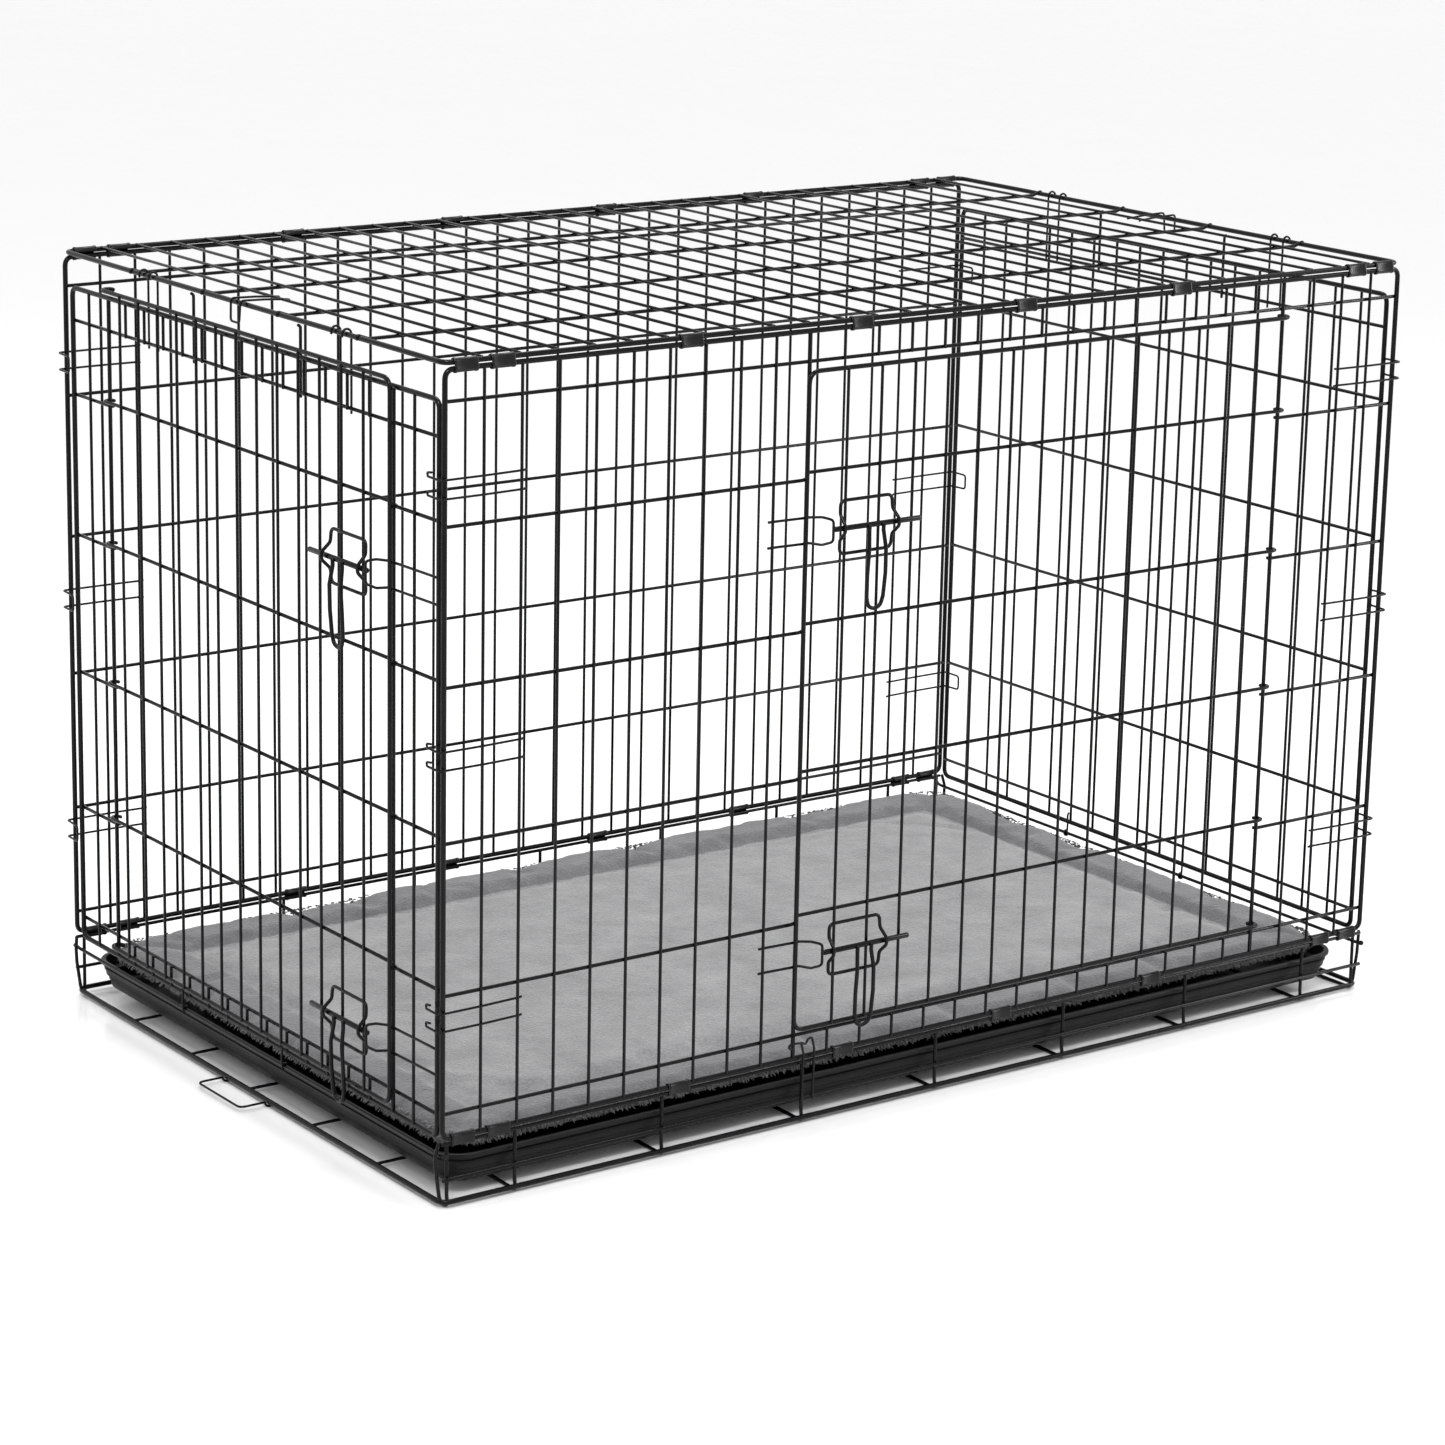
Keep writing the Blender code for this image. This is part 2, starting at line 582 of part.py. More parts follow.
def front_catch(mats, col):
    """A thin hook that ties the front panel's opening post to the base."""
    post, n = pitch_x(FRONT_POSTS[0]), 0.0070
    points = [(0.022, 0.026, n - 0.0030), (0.022, 0.084, n), (0.0165, 0.0935, n), (0.0120, 0.0895, n),
              (0.0075, 0.0920, n), (-0.0080, 0.0890, n), (-0.0080, 0.0850, n), (0.0030, 0.0850, n),
              (0.0060, 0.0800, n), (0.0060, 0.026, n - 0.0030)]
    runs = [([front(post + u, z, w) for u, z, w in points], R_CLIP, False)]
    add("front_catch", as_mesh(bars("front_catch", runs), "front_catch"), mats["wire"], col)


def build():
    clear_scene()
    col = collection("wire_dog_crate")
    cutters = collection("wire_dog_crate_cutters", hidden=True)
    mats = {"wire": material("black_coated_wire", (0.012, 0.012, 0.013), 0.3, 0.3),
            "clip": material("black_sheet_clip", (0.018, 0.018, 0.019), 0.4, 0.35),
            "tray": material("black_plastic_tray", (0.010, 0.010, 0.011), 0.0, 0.45),
            "mat": material("grey_plush_mat", (0.36, 0.37, 0.38), 0.0, 0.95)}
    base_frame(mats, col, cutters)
    front_panel(mats, col, cutters)
    back_panel(mats, col, cutters)
    top_panel(mats, col, cutters)
    end_panel("left_end_panel", left, -1, mats, col, cutters)
    end_panel("right_end_panel", right, 1, mats, col, cutters)
    doors(mats, col, cutters)
    latches(mats, col, cutters)
    hinge_clips(mats, col)
    tray(mats, col)
    mat_pad(mats, col)
    tray_stop(mats, col)
    front_catch(mats, col)


build()
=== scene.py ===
"""The looks of the wire dog crate: round coated wires, folded sheet clips, moulded tray and plush mat."""
import json
import math

import bmesh
import bpy
import numpy as np
from mathutils import Matrix, Vector, noise


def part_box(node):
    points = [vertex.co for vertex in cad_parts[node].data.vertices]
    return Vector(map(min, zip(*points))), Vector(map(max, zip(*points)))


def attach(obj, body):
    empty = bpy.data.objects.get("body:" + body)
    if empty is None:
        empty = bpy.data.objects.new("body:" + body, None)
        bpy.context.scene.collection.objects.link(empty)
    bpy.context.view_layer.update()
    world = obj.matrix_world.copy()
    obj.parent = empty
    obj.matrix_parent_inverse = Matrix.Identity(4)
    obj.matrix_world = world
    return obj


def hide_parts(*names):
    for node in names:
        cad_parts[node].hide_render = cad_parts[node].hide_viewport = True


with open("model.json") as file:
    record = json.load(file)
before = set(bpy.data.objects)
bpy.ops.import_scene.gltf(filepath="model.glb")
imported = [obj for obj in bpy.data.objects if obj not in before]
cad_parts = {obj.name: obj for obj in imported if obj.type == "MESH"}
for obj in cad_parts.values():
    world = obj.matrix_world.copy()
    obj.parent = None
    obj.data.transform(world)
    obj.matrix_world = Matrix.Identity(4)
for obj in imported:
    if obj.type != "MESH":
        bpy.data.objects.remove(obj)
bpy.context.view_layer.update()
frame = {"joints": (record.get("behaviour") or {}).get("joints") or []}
joints = {joint["name"]: joint for joint in frame["joints"]}

# wire radii
R_FRAME, R_DOOR, R_POST = 0.0027, 0.0024, 0.0022
R_RAIL, R_VERT, R_CLIP = 0.0019, 0.0016, 0.0012
R_ROD, R_HANDLE, R_GUIDE, R_KEEPER = 0.0028, 0.0021, 0.0018, 0.0014
CAD_HALF = 0.8862           # half side of a CAD bar, as a share of its wire's radius
BEND, TIGHT = 0.010, 0.004  # bend radii of frame wires and of small fittings
ARC_STEP = math.radians(15)
TIP = 0.0012                # how far a welded end pokes past the wire that it is welded to

# planes and corners, from the joints of the frame
X0, Y_MID, Z_TOP = joints["left_end_fold"]["pos_m"]
X1 = joints["right_end_fold"]["pos_m"][0]
_, FRONT_Y, _ = joints["front_door_hinge"]["pos_m"]
LEFT_X, _, _ = joints["left_door_hinge"]["pos_m"]
SIDE_Y = Y_MID - FRONT_Y
END_IN = LEFT_X - X0                     # the end panels hang this far inside the corner wires
RIGHT_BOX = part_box("right_end_panel")
END_HALF = (RIGHT_BOX[1].y - RIGHT_BOX[0].y) / 2 - R_FRAME * CAD_HALF
EDGE_Y = SIDE_Y - 0.0015                 # the top panel's long edge wires
BASE_Y = SIDE_Y + 0.0005                 # the base's rim and rails
ENDS_X, ENDS_Y = X1 - X0, 2 * END_HALF

# wire grid, as in the CAD model
NX, NY = 29, 18
RAIL_IN, VERT_OUT = 0.0016, 0.0018       # rails lie inside the frame's plane, uprights outside it
SIDE_RAILS = (0.790, 0.672, 0.518, 0.366, 0.215, 0.096)
SIDE_TOP, SIDE_BOTTOM = 0.8205, 0.0718
END_RAILS = (0.755, 0.675, 0.522, 0.370, 0.218, 0.092)
END_TOP, END_BOTTOM = 0.790, 0.0700
DOOR_RAILS = (0.681, 0.528, 0.376, 0.226)
DOOR_OUT, HOOK = 0.0068, 0.0050
FRONT_POSTS, LEFT_POSTS = (10, 25), (16, 2)
FRONT_DOOR_Z, LEFT_DOOR_Z = (0.1045, 0.7815), (0.0810, 0.7985)
FRONT_LATCH_Z, LEFT_LATCH_Z = (0.622, 0.184), (0.609, 0.146)
CLIP_ROWS = (0.709, 0.449, 0.191)        # heights of the corner clips
CLIP_OUT, CLIP_PAST, CLIP_HALF = 0.0041, 0.0072, 0.0090
RING, RING_Y, BRACE_Y = 0.0052, 0.192, 0.1065    # the end panels' hanging wires

# latches
ROD_OUT, BULGE_OUT = 0.0132, 0.0183
ROD_START, ROD_LENGTH = 0.0250, 0.110
GUIDE_U, GUIDE_HALF = (0.036, 0.100), 0.0270
KEEPER_HALF, KEEPER_U = 0.0130, 0.0205
HANDLE_U, HANDLE_HALF, HANDLE_DROP, HANDLE_OUT = 0.0760, 0.0105, 0.0860, 0.0190

# base
BASE_RAILS = (0.0060, 0.0300, 0.0660)
BASE_LOOPS, BASE_LONG, CORNER_LOOP_IN = 7, 5, 0.0091
LOOP_Z, LONG_Z, END_WIRE_Z = 0.0020, 0.0053, 0.0540
CATCH_Y = (0.131, -0.077)

# folded sheet clips
WRAP_LENGTH, WRAP_WALL, WRAP_PLAY = 0.0260, 0.0009, 0.0002
COLLAR = 0.00045            # how far the rolled collar at a clip's end stands out

# mat
BORDER = 0.066              # width of the mat's stuffed border
MAT_CORNER = 0.040
CELL = 0.0085               # cell of the start grid
RIM_Z = 0.0085              # height of the mat's edge over its underside
LOCKS, LOCK = 9000, 0.00085  # number and radius of the plush locks along the mat's sides
FLOOR_SIZE = 40.0

# camera, measured from the middle of the wire panels at floor level
CAMERA_AT = Vector((-2.6075, -3.5580, 1.5133))
CAMERA_ELEVATION, CAMERA_AZIMUTH, CAMERA_ROLL = 13.873, -36.104, 1.156
LENS, SENSOR, SHIFT_Y = 103.6, 36.0, -0.0692


# ---------------------------------------------------------------- materials

def new_material(name):
    """A material with its node tree and shader."""
    mat = bpy.data.materials.new(name)
    mat.use_nodes = True
    return mat, mat.node_tree, mat.node_tree.nodes["Principled BSDF"]


def texture(tree, kind, **settings):
    """A texture node on object coordinates."""
    node = tree.nodes.new("ShaderNodeTex" + kind)
    place = tree.nodes.get("Place") or tree.nodes.new("ShaderNodeTexCoord")
    place.name = "Place"
    tree.links.new(place.outputs["Object"], node.inputs["Vector"])
    for key, value in settings.items():
        node.inputs[key].default_value = value
    return node


def ramp(tree, source, low, high, start=0.3, end=0.7):
    """Two colours or grey values blended along a texture's value."""
    node = tree.nodes.new("ShaderNodeValToRGB")
    for element, value, at in zip(node.color_ramp.elements, (low, high), (start, end)):
        element.color = (*value, 1.0) if isinstance(value, tuple) else (value, value, value, 1.0)
        element.position = at
    tree.links.new(source, node.inputs["Fac"])
    return node.outputs["Color"]


def bump(tree, shader, height, distance, strength, below=None):
    """A bump from a height, on top of another bump if one is given."""
    node = tree.nodes.new("ShaderNodeBump")
    node.inputs["Distance"].default_value = distance
    node.inputs["Strength"].default_value = strength
    tree.links.new(height, node.inputs["Height"])
    if below is not None:
        tree.links.new(below, node.inputs["Normal"])
    tree.links.new(node.outputs["Normal"], shader.inputs["Normal"])
    return node.outputs["Normal"]


def coated_wire():
    """Glossy black coating with a slight orange peel, dulled in patches by handling."""
    mat, tree, shader = new_material("black_coated_wire")
    shader.inputs["Specular IOR Level"].default_value = 0.15
    shader.inputs["Coat Weight"].default_value = 0.03
    shader.inputs["Coat Roughness"].default_value = 0.12
    patches = texture(tree, "Noise", Scale=38.0, Detail=5.0, Roughness=0.6)
    tree.links.new(ramp(tree, patches.outputs["Fac"], (0.0012, 0.0012, 0.0014), (0.0032, 0.0032, 0.0035)),
                   shader.inputs["Base Color"])
    tree.links.new(ramp(tree, patches.outputs["Fac"], 0.17, 0.32), shader.inputs["Roughness"])
    peel = texture(tree, "Noise", Scale=620.0, Detail=2.0)
    runs = texture(tree, "Noise", Scale=90.0, Detail=3.0)
    below = bump(tree, shader, runs.outputs["Fac"], 0.0004, 0.15)
    bump(tree, shader, peel.outputs["Fac"], 0.0001, 0.22, below)
    return mat


def sheet_clip():
    """Black coated sheet steel with faint bending marks across the strip."""
    mat, tree, shader = new_material("black_sheet_clip")
    shader.inputs["Specular IOR Level"].default_value = 0.22
    shader.inputs["Coat Weight"].default_value = 0.05
    shader.inputs["Coat Roughness"].default_value = 0.15
    grain = texture(tree, "Noise", Scale=160.0, Detail=6.0, Roughness=0.65)
    tree.links.new(ramp(tree, grain.outputs["Fac"], (0.0016, 0.0016, 0.0018), (0.0045, 0.0045, 0.0048)),
                   shader.inputs["Base Color"])
    tree.links.new(ramp(tree, grain.outputs["Fac"], 0.22, 0.42), shader.inputs["Roughness"])
    marks = texture(tree, "Wave", Scale=260.0, Distortion=3.0, Detail=2.0)
    bump(tree, shader, marks.outputs["Fac"], 0.0002, 0.12)
    return mat


def tray_plastic():
    """Black moulded plastic with a fine leather grain and light scuffs."""
    mat, tree, shader = new_material("black_plastic_tray")
    shader.inputs["Specular IOR Level"].default_value = 0.20
    scuffs = texture(tree, "Noise", Scale=22.0, Detail=8.0, Roughness=0.7)
    tree.links.new(ramp(tree, scuffs.outputs["Fac"], (0.0020, 0.0020, 0.0022), (0.0055, 0.0055, 0.0058)),
                   shader.inputs["Base Color"])
    tree.links.new(ramp(tree, scuffs.outputs["Fac"], 0.30, 0.50), shader.inputs["Roughness"])
    cells = texture(tree, "Voronoi", Scale=850.0)
    bump(tree, shader, cells.outputs["Distance"], 0.0002, 0.25)
    return mat


def calculate(tree, operation, first, second=None):
    """The result of a math node; the second value may be a number or a socket."""
    node = tree.nodes.new("ShaderNodeMath")
    node.operation = operation
    tree.links.new(first, node.inputs[0])
    if isinstance(second, float):
        node.inputs[1].default_value = second
    elif second is not None:
        tree.links.new(second, node.inputs[1])
    return node.outputs[0]


def border_shade_mask(tree, lowest, highest):
    """1 on the mat's stuffed border, where shade is painted, and 0 inside it."""
    parts = tree.nodes.new("ShaderNodeSeparateXYZ")
    tree.links.new(tree.nodes["Place"].outputs["Object"], parts.inputs[0])
    masks = []
    for axis in (0, 1):
        middle, half = (lowest[axis] + highest[axis]) / 2, (highest[axis] - lowest[axis]) / 2 - BORDER
        size = calculate(tree, "ABSOLUTE", calculate(tree, "SUBTRACT", parts.outputs[axis], middle))
        masks.append(calculate(tree, "GREATER_THAN", size, half))
    return calculate(tree, "MAXIMUM", *masks)


def multiplied(tree, factor, first, second):
    """Two colours multiplied, as far as the factor says."""
    node = tree.nodes.new("ShaderNodeMix")
    node.data_type = "RGBA"
    node.blend_type = "MULTIPLY"
    sockets = (node.inputs["Factor"], node.inputs[6], node.inputs[7])
    for source, socket in zip((factor, first, second), sockets):
        if isinstance(source, (float, tuple)):
            socket.default_value = source
        else:
            tree.links.new(source, socket)
    return node.outputs[2]


def plush():
    """Light grey plush: clumped pile whose lean makes lighter and darker patches, and a border darkened by
    painted shade.
    """
    mat, tree, shader = new_material("grey_plush_mat")
    shader.inputs["Roughness"].default_value = 0.95
    shader.inputs["Specular IOR Level"].default_value = 0.1
    shader.inputs["Sheen Weight"].default_value = 0.35
    shader.inputs["Sheen Roughness"].default_value = 0.5
    lean = texture(tree, "Noise", Scale=16.0, Detail=7.0, Roughness=0.62)
    pile = texture(tree, "Noise", Scale=420.0, Detail=4.0, Roughness=0.7)
    wide = ramp(tree, lean.outputs["Fac"], (0.165, 0.167, 0.170), (0.245, 0.247, 0.250), 0.32, 0.68)
    fine = ramp(tree, pile.outputs["Fac"], 0.72, 1.18, 0.30, 0.70)
    coat = multiplied(tree, 1.0, wide, fine)
    # painted shade: the stuffed border's colour is multiplied darker, standing in for the shade on the
    # border rolls
    shade = multiplied(tree, border_shade_mask(tree, *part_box("mat")), coat, (0.62, 0.62, 0.63, 1.0))
    tree.links.new(shade, shader.inputs["Base Color"])
    clumps = texture(tree, "Voronoi", Scale=300.0, Randomness=1.0)
    below = bump(tree, shader, clumps.outputs["Distance"], 0.0020, 0.35)
    bump(tree, shader, pile.outputs["Fac"], 0.0015, 0.45, below)
    return mat


def floor_material():
    """Pale floor with a slight gloss."""
    mat, tree, shader = new_material("pale_floor")
    shader.inputs["Base Color"].default_value = (0.88, 0.88, 0.885, 1.0)
    shader.inputs["Specular IOR Level"].default_value = 0.35
    grain = texture(tree, "Noise", Scale=3.0, Detail=2.0)
    tree.links.new(ramp(tree, grain.outputs["Fac"], 0.14, 0.20), shader.inputs["Roughness"])
    return mat


# ---------------------------------------------------------------- wires

def front(u, z, n):
    """A point of the front panel: u from its left corner wire, n outward from its plane."""
    return Vector((X0 + u, Y_MID - SIDE_Y - n, z))


def back(u, z, n):
    """The same for the back panel."""
    return Vector((X0 + u, Y_MID + SIDE_Y + n, z))


def left(u, z, n):
    """A point of the left end panel: u from its rear corner wire."""
    return Vector((X0 + END_IN - n, Y_MID + END_HALF - u, z))


def right(u, z, n):
    """The same for the right end panel."""
    return Vector((X1 - END_IN + n, Y_MID + END_HALF - u, z))


def top(u, v, n):
    """A point of the top panel: u from its left edge, v from its front edge."""
    return Vector((X0 + u, Y_MID - EDGE_Y + v, Z_TOP + n))


def pitch_x(i):
    """How far upright i of a long side is from the left corner."""
    return i * ENDS_X / NX


def pitch_y(i):
    """How far upright i of an end is from the rear corner."""
    return i * ENDS_Y / NY


def filleted(points, bend, closed):
    """The path with each corner rounded to a bend radius, as far as its sides allow."""
    path = []
    for i, p in enumerate(points):
        if not closed and i in (0, len(points) - 1):
            path.append(p)
            continue
        back_side, on_side = points[i - 1] - p, points[(i + 1) % len(points)] - p
        turn = math.pi - back_side.angle(on_side)
        if turn < math.radians(3):
            path.append(p)
            continue
        reach = min(bend * math.tan(turn / 2), back_side.length * 0.47, on_side.length * 0.47)
        start, end = p + back_side.normalized() * reach, p + on_side.normalized() * reach
        steps = max(2, math.ceil(turn / ARC_STEP))
        for k in range(steps + 1):
            t = k / steps
            path.append(start * (1 - t) ** 2 + p * (2 * t * (1 - t)) + end * t * t)
    return path


def with_tips(path, radius):
    """Points and radii of an open wire whose cut ends are rounded over by the coating."""
    first, last = path[0], path[-1]
    into, back_in = (path[1] - first).normalized(), (path[-2] - last).normalized()
    shape = ((0.0, 0.50), (0.22, 0.82), (0.60, 1.0))
    head = [(first + into * radius * at, radius * share) for at, share in shape]
    tail = [(last + back_in * radius * at, radius * share) for at, share in reversed(shape)]
    return head + [(p, radius) for p in path[1:-1]] + tail


def wire(points, radius, bend=BEND, closed=False):
    """One wire, as (point, radius) pairs and whether it is a closed loop."""
    path = filleted([Vector(p) for p in points], bend, closed)
    if closed:
        return [(p, radius) for p in path], True
    return with_tips(path, radius), False


def linked(name, data):
    """A new object in the scene."""
    ob = bpy.data.objects.new(name, data)
    bpy.context.scene.collection.objects.link(ob)
    return ob


def baked(ob):
    """The mesh of an object with its modifiers applied."""
    bpy.context.view_layer.update()
    return bpy.data.meshes.new_from_object(ob.evaluated_get(bpy.context.evaluated_depsgraph_get()))


def meshed(name, work):
    """A mesh from a bmesh, which is freed."""
    mesh = bpy.data.meshes.new(name)
    work.to_mesh(mesh)
    work.free()
    return mesh


def wire_mesh(name, wires, resolution=4):
    """A mesh of round wires."""
    curve = bpy.data.curves.new(name, "CURVE")
    curve.dimensions = "3D"
    curve.bevel_depth = 1.0
    curve.bevel_resolution = resolution
    curve.use_fill_caps = True
    for path, closed in wires:
        spline = curve.splines.new("POLY")
        spline.points.add(len(path) - 1)
        for point, (co, radius) in zip(spline.points, path):
            point.co = (*co, 1.0)
            point.radius = radius
        spline.use_cyclic_u = closed
    ob = linked(name, curve)
    mesh = baked(ob)
    bpy.data.objects.remove(ob, do_unlink=True)
    weld_and_smooth(mesh)
    mesh.name = name
    return mesh


def weld_and_smooth(mesh, angle=40):
    """Joins doubled points and shades the mesh smooth up to an angle in degrees."""
    work = bmesh.new()
    work.from_mesh(mesh)
    bmesh.ops.remove_doubles(work, verts=work.verts, dist=0.000005)
    bmesh.ops.recalc_face_normals(work, faces=work.faces)
    work.to_mesh(mesh)
    work.free()
    mesh.shade_smooth()
    mesh.set_sharp_from_angle(angle=math.radians(angle))


def place(name, mesh, material, slot, body, *nodes, x=0.0):
    """Show a mesh in place of CAD nodes, moving with their body."""
    mesh.materials.clear()
    mesh.materials.append(material)
    ob = linked(name, mesh)
    ob.location.x = x
    bpy.context.view_layer.update()
    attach(ob, body)
    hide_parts(*nodes)
    return ob


def frame_loop(plane, width, z0, z1):
    """The bent frame wire of a panel."""
    corners = [plane(0, z0, 0), plane(width, z0, 0), plane(width, z1, 0), plane(0, z1, 0)]
    return wire(corners, R_FRAME, BEND, True)


def rail(plane, u0, u1, z):
    """A straight horizontal wire."""
    return wire([plane(u0, z, -RAIL_IN), plane(u1, z, -RAIL_IN)], R_RAIL)


def upright(plane, u, z0, z1, out=VERT_OUT, radius=R_VERT):
    """A straight vertical wire."""
    return wire([plane(u, z0, out), plane(u, z1, out)], radius)


def stub_rail(plane, edge, post, z):
    """A rail from the edge to a door post, with its end turned in past the post."""
    way = 1 if post > edge else -1
    return wire([plane(edge - way * TIP, z, -RAIL_IN), plane(post - way * 0.004, z, -RAIL_IN),
                 plane(post + way * 0.0020, z + 0.0004, -RAIL_IN - 0.0022)], R_RAIL, 0.002)


def corner_clip(plane, z, flip):
    """A spring wire across two uprights that turns the corner and loops on the end panel's face."""
    end, sign = (ENDS_X, -1) if flip else (0.0, 1)
    legs = []
    for s in (1, -1):
        v = z + s * CLIP_HALF
        leg = [plane(end + sign * (pitch_x(2) + 0.0050), v + s * 0.0006, CLIP_OUT - 0.0026),
               plane(end + sign * (pitch_x(2) + 0.0020), v, CLIP_OUT - 0.0022),
               plane(end + sign * pitch_x(1), v, CLIP_OUT),
               plane(end - sign * CLIP_PAST, v, CLIP_OUT + 0.0004),
               plane(end - sign * (CLIP_PAST + 0.0012), v - s * 0.0004, -0.021)]
        legs += leg if s == 1 else leg[::-1]
    return wire(legs, R_CLIP, TIGHT)


def open_corner_clip(plane, z):
    """The near corner's clip: each leg ends in its own small hook round the end panel's frame wire."""
    wires = []
    for s in (1, -1):
        v = z + s * CLIP_HALF
        leg = [plane(pitch_x(2) + 0.0050, v + 0.0005, CLIP_OUT - 0.0026),
               plane(pitch_x(2) + 0.0020, v, CLIP_OUT - 0.0022), plane(pitch_x(1), v, CLIP_OUT),
               plane(-CLIP_PAST, v, CLIP_OUT + 0.0004), plane(-CLIP_PAST - 0.0010, v + 0.0008, -0.0160),
               plane(-CLIP_PAST + 0.0012, v + 0.0036, -0.0205),
               plane(-CLIP_PAST + 0.0004, v + 0.0052, -0.0110)]
        wires.append(wire(leg, R_CLIP, 0.003))
    return wires


def keeper(plane, post, near, z, flow):
    """The latch keeper: legs welded across panel uprights, and a loop that stands out past the post."""
    legs = []
    for s in (1, -1):
        v = z + s * KEEPER_HALF
        leg = [plane(near, v, 0.0012), plane(near + flow * 0.012, v, 0.0012),
               plane(post - flow * 0.006, v, 0.0028), plane(post + flow * 0.0030, v, 0.0028),
               plane(post + flow * 0.0110, v + s * 0.0010, BULGE_OUT - 0.006),
               plane(post + flow * KEEPER_U, v - s * 0.0020, BULGE_OUT)]
        legs += leg if s == 1 else leg[::-1]
    return wire(legs, R_KEEPER, 0.0045)


def hook(plane, hinge, z, flow, ring, out):
    """Points of a wire end that wraps round the hinge post, from the door's plane to behind the post."""
    points = [plane(hinge - flow * 0.0080, z, out), plane(hinge - flow * 0.0020, z, out)]
    for turn in range(75, -106, -30):
        t = math.radians(turn)
        points.append(plane(hinge + flow * ring * math.cos(t), z, ring * math.sin(t)))
    return points


def door(plane, latch, hinge, span, posts, flow):
    """A door: its frame wire and rails, all hooked round the hinge post, and its uprights."""
    z0, z1 = span
    count = abs(posts[1] - posts[0])
    far = latch - flow * 0.0048
    ring = HOOK + 0.0006
    frame_path = hook(plane, hinge, z1, flow, ring, DOOR_OUT)[::-1]
    frame_path += [plane(far, z1, DOOR_OUT), plane(far, z0, DOOR_OUT)]
    frame_path += hook(plane, hinge, z0, flow, ring, DOOR_OUT)
    wires = [wire(frame_path, R_DOOR, 0.013)]
    for z in DOOR_RAILS:
        out = DOOR_OUT - RAIL_IN
        path = [plane(far - flow * TIP, z, out), plane(hinge - flow * 0.020, z, out)]
        path += hook(plane, hinge, z, flow, HOOK, DOOR_OUT - 0.0010)
        wires.append(wire(path, R_RAIL, 0.006))
    step = (hinge - latch) / count
    wires += [upright(plane, latch + step * i, z0 - TIP, z1 + TIP, DOOR_OUT + VERT_OUT)
              for i in range(1, count)]
    return wires


def front_panel():
    """The long side with the door opening, its two keepers and its corner clips."""
    a, b = (pitch_x(i) for i in FRONT_POSTS)
    wires = [frame_loop(front, ENDS_X, SIDE_BOTTOM, SIDE_TOP)]
    for z in SIDE_RAILS:
        if z in (SIDE_RAILS[0], SIDE_RAILS[-1]):
            wires.append(rail(front, -TIP, ENDS_X + TIP, z))
        else:
            wires += [stub_rail(front, 0, a, z), stub_rail(front, ENDS_X, b, z)]
    wires += [upright(front, u, SIDE_BOTTOM, SIDE_TOP, 0.0, R_POST) for u in (a, b)]
    for i in range(1, NX):
        if i in FRONT_POSTS:
            continue
        if FRONT_POSTS[0] < i < FRONT_POSTS[1]:
            wires += [upright(front, pitch_x(i), SIDE_RAILS[0] - TIP, SIDE_TOP),
                      upright(front, pitch_x(i), SIDE_BOTTOM, SIDE_RAILS[-1] + TIP)]
        else:
            wires.append(upright(front, pitch_x(i), SIDE_BOTTOM, SIDE_TOP))
    wires += [keeper(front, a, pitch_x(9) - 0.0055, z, 1) for z in FRONT_LATCH_Z]
    for z in CLIP_ROWS:
        wires += open_corner_clip(front, z)
        wires.append(corner_clip(front, z, True))
    return wires


def back_panel():
    """The long side without an opening."""
    wires = [frame_loop(back, ENDS_X, SIDE_BOTTOM, SIDE_TOP)]
    wires += [rail(back, -TIP, ENDS_X + TIP, z) for z in SIDE_RAILS]
    wires += [upright(back, pitch_x(i), SIDE_BOTTOM, SIDE_TOP) for i in range(1, NX)]
    wires += [corner_clip(back, z, flip) for z in CLIP_ROWS for flip in (False, True)]
    return wires


def top_clip(flip):
    """The spring wire at the middle of a top edge, bent down outside the end panel."""
    end, sign = (ENDS_X, -1) if flip else (0.0, 1)
    past, legs = END_IN + 0.0052, []
    for s in (1, -1):
        v = EDGE_Y + s * 0.0095
        leg = [top(end + sign * (pitch_x(1) + 0.0075), v + s * 0.0010, 0.0010),
               top(end + sign * (pitch_x(1) + 0.0040), v, 0.0018), top(end + sign * pitch_x(0.5), v, 0.0036),
               top(end - sign * (past - 0.0010), v, 0.0044), top(end - sign * past, v - s * 0.0010, -0.018)]
        legs += leg if s == 1 else leg[::-1]
    return wire(legs, R_CLIP, TIGHT)


def top_panel():
    """The top: long wires with their ends turned down over the end wires, and cross wires."""
    deep = 2 * EDGE_Y
    corners = [top(0, 0, 0), top(ENDS_X, 0, 0), top(ENDS_X, deep, 0), top(0, deep, 0)]
    wires = [wire(corners, R_FRAME, BEND, True)]
    for i in range(1, 5):
        v = deep * i / 5
        wires.append(wire([top(-0.0026, v, -0.0022), top(-0.0024, v, 0.0026), top(0.010, v, -RAIL_IN),
                           top(ENDS_X - 0.010, v, -RAIL_IN), top(ENDS_X + 0.0024, v, 0.0026),
                           top(ENDS_X + 0.0026, v, -0.0022)], R_RAIL, 0.003))
    wires += [wire([top(pitch_x(i), 0, VERT_OUT), top(pitch_x(i), deep, VERT_OUT)], R_VERT)
              for i in range(1, NX)]
    wires += [top_clip(False), top_clip(True)]
    return wires


def ring_pair(plane, y):
    """Two thin legs that rise inside the end panel and hook over the top panel's end wire."""
    legs = []
    for s in (1, -1):
        u = END_HALF - y + s * 0.010
        leg = [plane(u, END_RAILS[0] - 0.006, END_IN - RING), plane(u, Z_TOP - 0.002, END_IN - RING)]
        leg += [plane(u, Z_TOP + RING * math.sin(t), END_IN - RING * math.cos(t))
                for t in (math.radians(turn) for turn in range(15, 211, 15))]
        legs.append(wire(leg, R_CLIP, TIGHT))
    return legs


